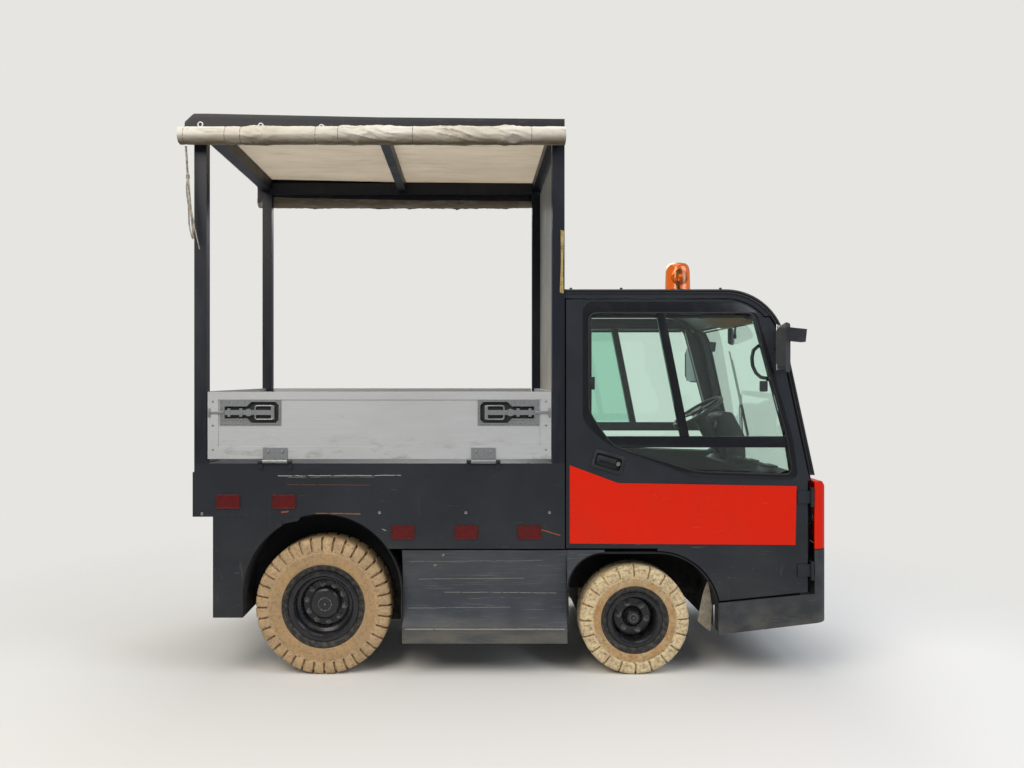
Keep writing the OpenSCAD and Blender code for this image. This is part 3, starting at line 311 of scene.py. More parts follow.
def rounded_outline(points, radius, steps=5):
    """An outline with its corners rounded by arcs."""
    result = []
    count = len(points)
    for i in range(count):
        corner = Vector(points[i])
        back = (Vector(points[i - 1]) - corner)
        ahead = (Vector(points[(i + 1) % count]) - corner)
        reach = min(radius, back.length * 0.45, ahead.length * 0.45)
        start, end = corner + back.normalized() * reach, corner + ahead.normalized() * reach
        for k in range(steps + 1):
            t = k / steps
            result.append(tuple(start.lerp(corner, t).lerp(corner.lerp(end, t), t)))
    return result


# Materials: layers of finish over a base, each with a mask that is read from Object coordinates in metres

def linear(value):
    """A linear colour from an sRGB hex value."""
    channels = [int(value[i:i + 2], 16) / 255 for i in (1, 3, 5)]
    return (*[c / 12.92 if c <= 0.04045 else ((c + 0.055) / 1.055) ** 2.4 for c in channels], 1.0)


def add(tree, kind, inputs, **settings):
    """Adds a shader node. An input that is another node's socket is linked, and any other value is set."""
    made = tree.nodes.new("ShaderNode" + kind)
    for key, value in settings.items():
        setattr(made, key, value)
    for key, value in inputs.items():
        if isinstance(value, bpy.types.NodeSocket):
            tree.links.new(value, made.inputs[key])
        else:
            made.inputs[key].default_value = value
    return made


def patches(tree, size, stretch, low, high):
    """A mask of patches of a size in mm, stretched along x, y and z, that grows between two noise levels."""
    place = add(tree, "TexCoord", {}).outputs["Object"]
    scaled = add(tree, "Mapping", {"Vector": place, "Scale": [1 / (size * MM * s) for s in stretch]})
    cloud = add(tree, "TexNoise",
                {"Vector": scaled.outputs[0], "Scale": 1.0, "Detail": 4.0, "Roughness": 0.62})
    return add(tree, "MapRange", {"Value": cloud.outputs[0], "From Min": low, "From Max": high}).outputs[0]


def ramp(tree, region):
    """A mask from 0 to 1 between two places along an axis, or between two distances from a wheel's axis."""
    axis, start, end, *centre = region
    place = add(tree, "TexCoord", {}).outputs["Object"]
    if axis == "r":
        flat = add(tree, "VectorMath", {0: place, 1: (1.0, 0.0, 1.0)}, operation="MULTIPLY")
        value = add(tree, "VectorMath", {0: flat.outputs[0], 1: (centre[0], 0.0, centre[1])},
                    operation="DISTANCE").outputs["Value"]
    else:
        parts = add(tree, "SeparateXYZ", {0: place})
        value = parts.outputs["XYZ".index(axis[-1].upper())]
        if axis.startswith("+"):
            value = add(tree, "Math", {0: value}, operation="ABSOLUTE").outputs[0]
    return add(tree, "MapRange", {"Value": value, "From Min": start, "From Max": end}).outputs[0]


def stroke(tree, start, end, width, wave):
    """A mask of a thin broken line between two places in the side view, on the right side only, in metres."""
    place = add(tree, "TexCoord", {}).outputs["Object"]
    waves = add(tree, "TexNoise", {"Vector": place, "Scale": 14.0, "Detail": 2.0}).outputs["Color"]
    moved = add(tree, "VectorMath", {0: waves, 1: (0.0, 0.0, 2 * wave), 2: place}, operation="MULTIPLY_ADD")
    flat = add(tree, "VectorMath", {0: moved.outputs[0], 1: (1.0, 0.0, 1.0)}, operation="MULTIPLY")
    origin = Vector((start[0], 0.0, start[1] + wave))
    along = Vector((end[0], 0.0, end[1] + wave)) - origin
    away = add(tree, "VectorMath", {0: flat.outputs[0], 1: origin}, operation="SUBTRACT").outputs[0]
    share = add(tree, "VectorMath", {0: away, 1: along}, operation="DOT_PRODUCT").outputs["Value"]
    part = add(tree, "MapRange", {"Value": share, "From Min": 0.0, "From Max": along.length_squared})
    foot = add(tree, "VectorMath", {0: along, "Scale": part.outputs[0]}, operation="SCALE").outputs[0]
    gap = add(tree, "VectorMath", {0: away, 1: foot}, operation="DISTANCE").outputs["Value"]
    line = add(tree, "MapRange",
               {"Value": gap, "From Min": width / 2 + 0.6 * MM, "From Max": width / 2 - 0.4 * MM})
    near = add(tree, "Math", {0: line.outputs[0], 1: ramp(tree, ("y", -0.58, -0.60))}, operation="MULTIPLY")
    broken = patches(tree, 16, (1.6, 1, 0.5), 0.36, 0.44)
    return add(tree, "Math", {0: near.outputs[0], 1: broken}, operation="MULTIPLY").outputs[0]


def material(key, name, base, layers=(), bump=None, marks=(), **extra):
    """Makes the material of a short name from a base look, layers over it, single marks and a bump.

    A layer has its patch size in mm, stretch, the two noise levels, a region or None, and what it changes.
    A mark has its start, end, width and wave in metres, and its colour."""
    made = bpy.data.materials.new(name)
    made.use_nodes = True
    tree = made.node_tree
    shader = tree.nodes["Principled BSDF"]
    look = dict(base)
    for size, stretch, levels, region, over in layers:
        mask = patches(tree, size, stretch, *levels)
        if region:
            mask = add(tree, "Math", {0: mask, 1: ramp(tree, region)}, operation="MULTIPLY").outputs[0]
        for socket, value in over.items():
            first, kind = (6, "RGBA") if socket.endswith("Color") else (2, "FLOAT")
            mixed = add(tree, "Mix", {0: mask, first: look[socket], first + 1: value}, data_type=kind)
            look[socket] = mixed.outputs[2 if kind == "RGBA" else 0]
    for start, end, width, wave, colour in marks:
        mask = stroke(tree, start, end, width, wave)
        look["Base Color"] = add(tree, "Mix", {0: mask, 6: look["Base Color"], 7: linear(colour)},
                                 data_type="RGBA").outputs[2]
    if bump:
        size, stretch, depth = bump
        shape = patches(tree, size, stretch, 0.25, 0.75)
        bump = add(tree, "Bump", {"Height": shape, "Distance": depth * MM, "Strength": 1.0})
        look["Normal"] = bump.outputs[0]
    look.update(extra)
    for socket, value in look.items():
        if isinstance(value, bpy.types.NodeSocket):
            tree.links.new(value, shader.inputs[socket])
        else:
            shader.inputs[socket].default_value = value
    MATERIALS[key] = made


def look_of(colour, roughness, metallic=0.0):
    """A base look: an sRGB hex colour, a roughness and a metallic value."""
    return {"Base Color": linear(colour), "Roughness": roughness, "Metallic": metallic}


def coat(colour, roughness=None):
    """What a layer changes: the colour, an sRGB hex value, and the roughness where it is given."""
    changed = {"Base Color": linear(colour)}
    if roughness is not None:
        changed["Roughness"] = roughness
    return changed


EVEN = (1, 1, 1)
DOWN_Z = (1, 1, 14)
# Rust that several finishes share
RUST = "#7a3f20"

MATERIALS = {}

# Marks seen in the photo on the right side's skirts and step
# columns: start and end (place along the truck, height), width, wave, colour
BODY_MARKS = (((-1.110, 0.984), (-0.511, 0.986), 0.0022, 0.006, "#b4b1a8"),
              ((-1.060, 0.977), (-0.640, 0.979), 0.0012, 0.006, "#85837d"),
              ((-1.066, 0.941), (-0.667, 0.938), 0.0022, 0.002, "#6e3d24"),
              ((-1.092, 0.806), (-1.062, 0.811), 0.0080, 0.004, "#8a4a24"),
              ((-0.925, 0.800), (-0.711, 0.799), 0.0060, 0.004, "#74543a"),
              ((-0.602, 0.724), (-0.586, 0.717), 0.0030, 0.001, "#b9b5aa"),
              ((0.170, 0.721), (0.263, 0.694), 0.0034, 0.004, "#a9592c"))
STEP_MARKS = (((-0.309, 0.592), (-0.303, 0.597), 0.0070, 0.002, "#a48c4e"),
              ((-0.350, 0.539), (-0.342, 0.543), 0.0060, 0.002, "#a48c4e"),
              ((-0.470, 0.560), (0.180, 0.566), 0.0016, 0.004, "#7f7f7c"),
              ((-0.430, 0.470), (0.090, 0.474), 0.0016, 0.003, "#85857f"),
              ((-0.300, 0.405), (0.250, 0.401), 0.0020, 0.003, "#8a8a84"),
              ((-0.480, 0.330), (0.020, 0.334), 0.0016, 0.003, "#7c7c78"),
              ((-0.490, 0.236), (0.285, 0.236), 0.0060, 0.001, "#8d867a"))


def make_materials(colours):
    """All finishes of the truck, by a short name."""
    # Satin anthracite powder coat: faint cloudy sheen, dust that thickens towards the ground, a few bright
    # nicks, and the scrapes that the photo shows
    material(
        "body", "Powder-coated steel", look_of(colours.body, 0.4),
        [(420, EVEN, (0.42, 0.75), None, coat("#262a30", 0.5)),
         (170, (2, 2, 1), (0.42, 0.8), ("z", 0.85, 0.15), coat("#3b3a36", 0.72)),
         (26, (1, 1, 9), (0.62, 0.86), ("z", 1.02, 0.3), coat("#5b5850", 0.75)),
         (2.4, (70, 1, 1), (0.70, 0.72), ("z", 1.12, 0.62), coat("#8f8e8a", 0.5)),
         (3.5, EVEN, (0.745, 0.755), ("z", 1.3, 0.3), coat("#b3b0a7", 0.6)),
         (8, (3, 1, 1), (0.765, 0.775), ("z", 1.1, 0.3), coat(RUST, 0.85))],
        (1.1, EVEN, 0.03), BODY_MARKS, **{"Specular IOR Level": 0.38})
    # Satin grey of the steps: trodden, with long fine bright scrapes, painted light that makes the lower part
    # lighter in a dust colour, and caked dirt below
    material(
        "step", "Scuffed step enamel", look_of("#33373d", 0.38),
        [(160, (2, 1, 1), (0.4, 0.72), None, coat("#42464b", 0.5)),
         (2.2, (90, 1, 1), (0.62, 0.67), None, coat("#6f706e", 0.5)),
         # painted light: lighter towards the foot, where the step's flare faces the sky
         (60, (3, 1, 1), (0.3, 0.75), ("z", 0.30, 0.17), coat("#6b6659", 0.8)),
         (4, EVEN, (0.74, 0.76), None, coat("#a79a82", 0.8))],
        (1.6, EVEN, 0.04), STEP_MARKS)
    # Dull dark enamel of the chassis, furred with road dust and rust spots
    material(
        "chassis", "Chassis enamel", look_of("#1a1c1f", 0.6),
        [(90, EVEN, (0.45, 0.8), None, coat("#4a463e", 0.9)),
         (12, EVEN, (0.66, 0.72), None, coat(RUST, 0.92))],
        (3, EVEN, 0.15))
    # Wheel wells: near-black, partly black undercoat and partly painted shade of the arches, with pale mud
    # only low down
    material(
        "well", "Black undercoat", look_of("#0d0e10", 0.85),
        [(50, EVEN, (0.45, 0.8), ("z", 0.6, 0.2), coat("#4f4a40"))], (3, EVEN, 0.2))
    # Gloss red enamel: clean, faintly orange-peeled, with a few fine scratches and a breath of dust
    material(
        "red", "Gloss red enamel", look_of(colours.accent, 0.24),
        [(300, EVEN, (0.45, 0.85), None, coat("#cb2406", 0.32)),
         (2.2, (50, 1, 1), (0.72, 0.735), None, coat("#e8866c", 0.5)),
         (3.5, EVEN, (0.76, 0.765), None, coat("#4c1a12", 0.6))],
        (2.4, EVEN, 0.01), **{"Coat Weight": 0.1, "Coat Roughness": 0.12, "Specular IOR Level": 0.22})
    # Grained dark plastic of mirrors, dashboard, handles and tail lamp rims, greyed on its high spots
    material(
        "plastic", "Moulded dark plastic", look_of("#17191c", 0.5),
        [(80, EVEN, (0.48, 0.8), None, coat("#2b2d30", 0.64)),
         (3, (20, 1, 1), (0.72, 0.74), None, coat("#5a5b5c", 0.7))],
        (1.3, EVEN, 0.02))
    # Bumper plastic: sun-bleached and scraped, with stone chips
    material(
        "bumper", "Scuffed bumper plastic", look_of("#25282c", 0.5),
        [(120, EVEN, (0.44, 0.75), None, coat("#3a3c3e", 0.64)),
         (3, (40, 1, 1), (0.67, 0.70), None, coat("#77756f", 0.75)),
         (3, (1, 40, 1), (0.67, 0.70), None, coat("#77756f", 0.75)),
         (70, (2, 2, 1), (0.4, 0.85), ("z", 0.42, 0.24), coat("#5f5b51", 0.85))],
        (1.2, EVEN, 0.05))
    # Solid beige rubber: matt, blotched orange-brown, black base ring with dust, dark scuffs on the tread
    for key, colour, centre, ring, stain, wall, wall_r in (
            ("rear_tyre", colours.rear_tyre, REAR_AXLE, 0.2052, "#9c8462", "#ad8c62", 0.262),
            ("front_tyre", colours.front_tyre, FRONT_AXLE, 0.1668, "#bda680", "#ad8452", 0.206)):
        material(
            key, "Non-marking rubber " + key.split("_")[0], look_of(colour, 0.82),
            [(35, EVEN, (0.0, 0.4), ("r", wall_r + 0.003, wall_r - 0.005, centre.x, centre.z), coat(wall)),
             (75, EVEN, (0.4, 0.72), None, coat(stain)),
             (14, EVEN, (0.48, 0.72), None, coat("#7f6e55")),
             (25, EVEN, (0.5, 0.8), ("r", ring + 0.09, ring + 0.16, centre.x, centre.z), coat("#8a7a64")),
             (5, EVEN, (0.66, 0.7), None, coat("#4a4036")),
             (30, EVEN, (-0.2, -0.1), ("r", ring + 0.0006, ring - 0.0006, centre.x, centre.z),
              coat("#191817", 0.7)),
             (22, EVEN, (0.45, 0.85), ("r", ring, ring - 0.004, centre.x, centre.z), coat("#5d574c"))],
            (3, EVEN, 0.25))
    # Black rim enamel, chipped to bare steel on edges and dusty in the dish
    material(
        "rim", "Black rim enamel", look_of("#17181c", 0.26),
        [(45, EVEN, (0.5, 0.85), None, coat("#2f2d2a", 0.6)),
         (4, EVEN, (0.70, 0.73), None, coat("#7d766d", 0.6)),
         (10, EVEN, (0.74, 0.76), None, coat(RUST, 0.9))],
        (1.5, EVEN, 0.05))
    # Wheel nuts: dark steel, rubbed bright by the wrench in patches
    material(
        "nut", "Wrench-worn steel", look_of("#4b4c51", 0.3, 0.4),
        [(7, EVEN, (0.5, 0.62), None, coat("#8e8c88", 0.35)),
         (12, EVEN, (0.62, 0.7), None, {**coat(RUST, 0.85), "Metallic": 0.0})],
        (1.5, EVEN, 0.05))
    # Mill aluminium of the boards: bright, oxidised, brushed along its length, stained grey along its foot
    material(
        "aluminium", "Mill aluminium", look_of("#cfd0d0", 0.42, 0.6),
        [(0.9, (400, 400, 1), (0.3, 0.7), None, coat("#bdbebe", 0.52)),
         (260, (3, 3, 1), (0.46, 0.8), None, coat("#b5b5b2", 0.55)),
         (40, (3, 3, 1), (0.55, 0.8), ("z", 1.22, 1.07), coat("#8f8d87", 0.6)),
         (2.5, (50, 50, 1), (0.71, 0.73), None, coat("#77767a", 0.6)),
         (7, EVEN, (0.75, 0.77), None, coat("#5c5b58", 0.6))],
        (1.2, (300, 300, 1), 0.012))
    # Galvanised steel of latches, hinges and rivets: mid grey and dull, darker than the boards, with brown
    # corners
    material(
        "zinc", "Galvanised steel", look_of("#9b9d9e", 0.38, 0.7),
        [(6, EVEN, (0.35, 0.7), None, coat("#7c7e7f", 0.55)),
         (16, EVEN, (0.60, 0.78), None, coat("#5f564a", 0.7))],
        (0.8, EVEN, 0.02))
    # Near-black floors of the latch pockets: painted shade in the recesses, with a few dirt patches
    material(
        "pocket_shade", "Painted latch pocket shade", look_of("#151413", 0.6),
        [(9, EVEN, (0.5, 0.75), None, coat("#3b352d", 0.8))], (2, EVEN, 0.1))
    # Satin dark paint on the canopy tubes, thin and rubbed
    material(
        "canopy", "Canopy tube paint", look_of("#11151f", 0.42),
        [(140, (1, 1, 5), (0.5, 0.85), None, coat("#2c2d31", 0.62)),
         (2.5, (1, 1, 50), (0.72, 0.74), None, coat("#8f8c85", 0.55)),
         (6, EVEN, (0.76, 0.77), None, coat("#8a5a34", 0.8))],
        (1.1, EVEN, 0.03), **{"Specular IOR Level": 0.35})
    # Coated tarpaulin: pale beige that glows from above, with rain streaks and a blue-black hem at the sides
    material(
        "tarp", "Coated tarpaulin", {**look_of(colours.cloth, 0.55), "Subsurface Weight": 0.85},
        [(240, (3, 1, 1), (0.4, 0.75), None, coat("#a79c8f")),
         (26, (14, 1, 1), (0.54, 0.78), None, coat("#8b8074")),
         (16, EVEN, (0.70, 0.76), None, coat("#756f63")),
         (40, EVEN, (-0.2, -0.1), ("+y", 0.612, 0.616), {**coat("#080b17", 0.6), "Subsurface Weight": 0.0}),
         (22, (3, 1, 1), (0.55, 0.72), ("+y", 0.640, 0.648), coat("#3d2d2a", 0.7))],
        (0.9, EVEN, 0.04), **{"Subsurface Radius": (0.02, 0.019, 0.017), "Subsurface Scale": 0.4})
    # Front curtain: the same cloth seen upright, cleaner, yellowed towards its foot
    material(
        "wall", "Coated curtain cloth", look_of("#bdb9ad", 0.55),
        [(300, EVEN, (0.4, 0.75), None, coat("#a9a598")),
         (50, DOWN_Z, (0.5, 0.85), ("z", 2.4, 1.1), coat("#8f8771"))],
        (0.9, EVEN, 0.04))
    # Dirty rolled cloth: off-white, with painted shade that turns it brown on its underside and on its inner
    # side, creases, water marks, mould specks and a dark line at each seam and tie
    material(
        "roll", "Rolled curtain cloth", look_of("#c3beb3", 0.58),
        [(150, (2, 1, 1), (0.4, 0.75), None, coat("#aaa18e")),
         # painted shade: darker brown on the roll's underside
         (60, (4, 1, 1), (0.15, 0.5), ("z", 2.622, 2.586), coat("#66573f")),
         # painted shade: brown on the roll's inner side, towards the load space
         (60, (4, 1, 1), (0.2, 0.5), ("+y", 0.716, 0.672), coat("#7d6c54")),
         (26, (6, 1, 1), (0.55, 0.78), None, coat("#857a66")),
         (5, (1, 6, 6), (0.66, 0.70), None, coat("#6a6255")),
         (5, EVEN, (0.73, 0.75), None, coat("#3d3933"))],
        (1.6, EVEN, 0.12), [((x, 2.570), (x + 0.002, 2.676), 0.0026, 0.001, "#4c453a") for x in ROLL_SEAMS])
    # White moulded plastic of the eyelets, greyed
    material(
        "eyelet", "White moulded plastic", look_of("#cfd1d6", 0.5),
        [(8, EVEN, (0.55, 0.8), None, coat("#a9a79f"))])
    # Woven webbing, off-white and grey at the folds
    material(
        "webbing", "Polyester webbing", look_of("#a59e8f", 0.8),
        [(18, EVEN, (0.4, 0.65), None, coat("#625b4f"))], (1.0, EVEN, 0.15))
    # Safety glass: nearly clear, greener only through several panes, faintly dusty
    material(
        "glass", "Tinted safety glass", look_of("#e8f8f1", 0.015),
        [(90, DOWN_Z, (0.55, 0.95), None, {"Roughness": 0.07})],
        None, **{"Transmission Weight": 1.0, "IOR": 1.45})
    # Sliding pane: the deeper green that shows through the far door
    material(
        "tint", "Green sliding pane", look_of("#bfe6d8", 0.02),
        [], None, **{"Transmission Weight": 1.0, "IOR": 1.45})
    # Clear moulded lamp glass with its fine upright flutes
    material(
        "lens", "Clear lamp lens", look_of("#f2f5f5", 0.03),
        [(60, EVEN, (0.5, 0.9), None, {"Roughness": 0.1})],
        (5, (1, 1, 40), 0.25), **{"Transmission Weight": 1.0, "IOR": 1.49})
    # Amber acrylic of the beacon: saturated at its rim, glowing where the reflector stands behind it
    material(
        "amber", "Amber acrylic", look_of("#fba84a", 0.06),
        [(40, EVEN, (0.55, 0.9), None, {"Roughness": 0.16})],
        (4, (1, 1, 30), 0.12), **{"Transmission Weight": 1.0, "IOR": 1.49})
    # Moulded red reflex plastic with its small prisms
    material(
        "reflex", "Red reflex plastic", look_of("#650806", 0.24),
        [(7, EVEN, (0.4, 0.62), None, coat("#3f0706", 0.32)),
         (60, EVEN, (0.5, 0.8), None, coat("#4a0e0b", 0.4))],
        (4, EVEN, 0.25), **{"Coat Weight": 0.12, "Specular IOR Level": 0.35})
    # Black seal rubber, dusty grey in places
    material(
        "rubber", "Seal rubber", look_of("#101113", 0.55),
        [(35, EVEN, (0.55, 0.9), None, coat("#26272a", 0.75))], (2, EVEN, 0.05))
    # Gloss black print round the door windows, with a faint blue cast and wiped dust
    material(
        "band", "Gloss black window print", look_of("#090a0e", 0.2),
        [(90, EVEN, (0.5, 0.85), None, coat("#141518", 0.34))], (1.5, EVEN, 0.01))
    # Black vinyl of the seats, shiny where it is sat on
    material(
        "vinyl", "Embossed vinyl", look_of("#1c1d20", 0.44),
        [(70, EVEN, (0.45, 0.8), None, coat("#2e2f32", 0.6))], (1.6, EVEN, 0.1))
    # Rough cast steel, brown with surface rust
    material(
        "cast", "Cast steel", look_of("#4a4541", 0.66, 0.6),
        [(16, EVEN, (0.42, 0.7), None, {**coat(RUST, 0.9), "Metallic": 0.1})], (2, EVEN, 0.2))
    # Bright bare steel of locks, screws, bolts and lamp rings
    material(
        "steel", "Bare steel", look_of("#a3a2a0", 0.3, 1.0),
        [(10, EVEN, (0.5, 0.75), None, coat("#7b736a", 0.5))])
    # Rubber flap in a pale grey-beige, with darker patches and specks
    material(
        "flap", "Pale rubber flap", look_of("#8c8474", 0.9),
        [(30, EVEN, (0.4, 0.7), None, coat("#6a6355")),
         (8, EVEN, (0.6, 0.7), None, coat("#3a362f"))], (3, EVEN, 0.3))
    # Yellowed adhesive foam left on the post
    material(
        "foam", "Yellowed foam tape", look_of("#a8925a", 0.85),
        [(12, EVEN, (0.45, 0.7), None, coat("#6e5c34"))], (2, EVEN, 0.3))
    # Tan leathercloth of the sun visor
    material(
        "visor", "Tan leathercloth", look_of("#c07a24", 0.6),
        [(40, EVEN, (0.45, 0.8), None, coat("#96601f"))], (1.4, EVEN, 0.08))
    # Mirror glass, only 60 % metallic, so that it is less bright than clean silver, with patches of dust that
    # make it rougher
    material(
        # its pale diffuse part is a painted reflection of a pale sky, also on the lamp reflectors and dials
        "mirror", "Silvered mirror glass", look_of("#e3e7e8", 0.04, 0.6),
        [(60, EVEN, (0.5, 0.9), None, {"Roughness": 0.12})])
    # Steel battery tray in grey-green paint with acid stains
    material(
        "battery", "Battery tray paint", look_of("#3c463f", 0.5),
        [(50, DOWN_Z, (0.5, 0.8), None, coat("#76735f", 0.75))], (2, EVEN, 0.06))


# CAD nodes that keep their own shape, by the finish they get
NODE_FINISH = {
    "chassis": ("chassis", "bearers", "rear_axle", "front_axle"),
    "well": ("arch_liners", "arch_walls", "cab_floor"),
    "cast": ("knuckle_right", "knuckle_left", "tie_rod", "tow_coupling"),
    "battery": ("battery",),
    "rim": ("rim_rear_right", "rim_rear_left", "rim_front_right", "rim_front_left"),
    "body": ("skirts", "fenders", "rear_panel", "load_bed", "cab_frame", "cab_roof", "door_right",
             "door_left"),
    "step": ("steps",),
    "red": ("cab_nose", "door_panel_right", "door_panel_left"),
    "reflex": ("red_lenses",),
    "aluminium": ("front_board", "dropside_right", "dropside_left", "tailboard"),
    "zinc": ("fittings_right", "fittings_left", "fittings_rear"),
    "canopy": ("canopy_posts", "canopy_top"),
    "bumper": ("bumper",),
    "glass": ("cab_glass", "door_glass_right", "door_glass_left"),
    "lens": ("headlamps",),
    "amber": ("beacon_dome",),
    "plastic": ("mirror_right", "mirror_left", "dashboard", "steering_wheel"),
    "vinyl": ("seats",),
    "webbing": ("tie_strap",),
    "rear_tyre": ("tyre_rear_right", "tyre_rear_left"),
    "front_tyre": ("tyre_front_right", "tyre_front_left"),
    "tarp": ("roof_sheet",),
    "wall": ("front_curtain",),
    "roll": ("curtain_rolls",),
}


class TRUCK_OT_finishes(bpy.types.Operator):
    """Makes all materials and gives the CAD nodes their finish"""
    bl_idname = "truck.finishes"
    bl_label = "Finishes"

    def execute(self, context):
        make_materials(context.scene.truck_colours)
        for key, nodes in NODE_FINISH.items():
            for name in nodes:
                dress(name, key)
        return {"FINISHED"}


# The photo's viewing angle: place, focal length and shifts of a camera that looks straight at the right side
CAMERA_AT = (-0.170, -4.470, 1.461)
CAMERA_LENS, CAMERA_SENSOR = 27.56, 36
CAMERA_SHIFT = (0.04, -0.006)
AIM = Vector((0.0, 0.0, 1.0))
# columns: place, size, strength in watts, colour
LAMPS = (((-3.0, -4.5, 5.5), 4.5, 330, "#fff6ea"), ((4.5, -3.0, 4.5), 4.0, 180, "#eef4ff"),
         ((0.0, 4.5, 5.0), 4.0, 170, "#ffffff"), ((0.0, 0.0, 7.0), 5.0, 160, "#ffffff"))
# Colour and strength of the sky that lights the truck, and of the pale ground that the camera sees
SKY_LIGHT = ("#dfe6ee", 0.42)
SKY_SEEN = ("#e6e5e1", 1.0)
FLOOR_RADIUS = 9.0
FLOOR_COLOUR = "#d9d8d4"
# Distances from the truck's middle between which the floor fades into the background
FLOOR_FADE = (2.0, 4.2)


class TRUCK_OT_stage(bpy.types.Operator):
    """Sets the camera, the soft studio light and the pale floor that fades into the background"""
    bl_idname = "truck.stage"
    bl_label = "Stage"

    def execute(self, context):
        scene = context.scene
        scene.view_settings.view_transform = "Standard"
        bpy.ops.object.camera_add(location=CAMERA_AT, rotation=(math.radians(90), 0, 0))
        camera = context.object
        camera.data.lens = CAMERA_LENS
        camera.data.sensor_width = CAMERA_SENSOR
        camera.data.shift_x, camera.data.shift_y = CAMERA_SHIFT
        scene.camera = camera
        for place, size, power, colour in LAMPS:
            aim = (AIM - Vector(place)).to_track_quat("-Z", "Y").to_euler()
            bpy.ops.object.light_add(type="AREA", location=place, rotation=aim)
            lamp = context.object.data
            lamp.shape = "DISK"
            lamp.size = size
            lamp.energy = power
            lamp.color = linear(colour)[:3]
        world = bpy.data.worlds.new("Soft studio")
        scene.world = world
        world.use_nodes = True
        tree = world.node_tree
        path = add(tree, "LightPath", {})
        rays = [path.outputs["Is Camera Ray"], path.outputs["Is Transmission Ray"]]
        seen = add(tree, "Math", {0: rays[0], 1: rays[1]}, operation="MAXIMUM")
        skies = [add(tree, "Background", {"Color": linear(colour), "Strength": strength}).outputs[0]
                 for colour, strength in (SKY_LIGHT, SKY_SEEN)]
        mixed = add(tree, "MixShader", {0: seen.outputs[0], 1: skies[0], 2: skies[1]})
        tree.links.new(mixed.outputs[0], tree.nodes["World Output"].inputs["Surface"])
        bpy.ops.mesh.primitive_circle_add(vertices=96, radius=FLOOR_RADIUS, fill_type="NGON",
                                          location=(0, 0, 0))
        floor = context.object
        floor.name = "studio_floor"
        paint = bpy.data.materials.new("Pale studio floor")
        paint.use_nodes = True
        tree = paint.node_tree
        shader = tree.nodes["Principled BSDF"]
        shader.inputs["Base Color"].default_value = linear(FLOOR_COLOUR)
        shader.inputs["Roughness"].default_value = 0.9
        clear = add(tree, "BsdfTransparent", {})
        place = add(tree, "TexCoord", {}).outputs["Object"]
        away = add(tree, "VectorMath", {0: place}, operation="LENGTH").outputs["Value"]
        fade = add(tree, "MapRange", {"Value": away, "From Min": FLOOR_FADE[0], "From Max": FLOOR_FADE[1]},
                   interpolation_type="SMOOTHSTEP")
        below = add(tree, "NewGeometry", {}).outputs["Backfacing"]
        gone = add(tree, "Math", {0: fade.outputs[0], 1: below}, operation="MAXIMUM")
        mixed = add(tree, "MixShader", {0: gone.outputs[0], 1: shader.outputs[0], 2: clear.outputs[0]})
        tree.links.new(mixed.outputs[0], tree.nodes["Material Output"].inputs["Surface"])
        floor.data.materials.append(paint)
        return {"FINISHED"}


# Wheels

# columns: radius, distance from the tyre's middle plane, in mm, from the bead to the middle of the tread
REAR_PROFILE = ((152.8, 71.4), (174, 71.4), (178, 79), (184, 84), (200, 86.5), (205, 87), (206.5, 85.5),
                (208, 87.5), (215, 88.5), (235, 90), (252, 90), (262, 89.2), (266, 88.6), (268, 86),
                (270, 88), (274, 88.4), (290, 87.8), (310, 86.5), (322, 84), (329, 80), (334, 73),
                (336, 64), (336, 45), (336, 25), (336, 8), (336, 0))
FRONT_PROFILE = ((114.6, 60.4), (136, 60.4), (140, 67), (146, 70), (160, 72), (166, 72.2), (168, 70.8),
                 (169.5, 72.4), (176, 73.2), (190, 74.4), (194, 74.6), (196, 73.4), (198, 74.8), (204, 74.8),
                 (206, 73.0), (209, 73.4), (212, 75), (224, 74.8), (250, 73), (262, 68), (268, 60), (270, 50),
                 (270, 30), (270, 12), (270, 0))


def select_faces(piece, wanted):
    """Selects the faces whose centre and normal pass a test, and nothing else."""
    only(piece)
    bpy.ops.object.mode_set(mode="EDIT")
    bpy.ops.mesh.select_all(action="DESELECT")
    bpy.ops.mesh.select_mode(type="FACE")
    bpy.ops.object.mode_set(mode="OBJECT")
    for face in piece.data.polygons:
        face.select = wanted(face.center, face.normal)


def push_faces(piece, wanted, depth):
    """Extrudes the wanted faces along their normals, inwards where the depth is negative."""
    select_faces(piece, wanted)
    bpy.ops.object.mode_set(mode="EDIT")
    bpy.ops.mesh.extrude_region_shrink_fatten(TRANSFORM_OT_shrink_fatten={"value": depth})
    bpy.ops.object.mode_set(mode="OBJECT")


def column(place, centre, steps):
    """Number of the column round a wheel that a place is in."""
    angle = math.atan2(place.z - centre.z, place.x - centre.x) % math.tau
    return int(angle / math.tau * steps)


def reach(place, centre):
    """Distance of a place from a wheel's axis."""
    return math.hypot(place.x - centre.x, place.z - centre.z)


def wheels(end):
    """The right and the left wheel's body at one end of the truck."""
    return ["wheel_" + end + "_" + side for side in SIDES]


def make_tyre(name, half, axle, lugs, columns, groove, pocket, depth):
    """A turned tyre whose first column of each lug is pushed in as a gap, and a pocket in its wall.

    The groove has its radius and distance from the middle plane, the pocket its columns, radii and depth."""
    centre = Vector((axle.x, -axle.y, axle.z))
    profile = [(r * MM, -d * MM) for r, d in half] + [(r * MM, d * MM) for r, d in reversed(half[:-1])]
    steps = lugs * columns
    tyre = lathe(name, profile, centre, steps)
    push_faces(tyre, lambda c, n: column(c, centre, steps) % columns == 0 and reach(c, centre) > groove[0]
               and abs(c.y - centre.y) > groove[1], -depth)
    if pocket:
        first, last, low, high, sink = pocket
        push_faces(tyre, lambda c, n: first <= column(c, centre, steps) % columns <= last
                   and low < reach(c, centre) < high and abs(n.y) > 0.7 and abs(c.y - centre.y) > 0.06, -sink)
    round_edges(tyre, 1.3 * MM, 2, 40)
    return tyre


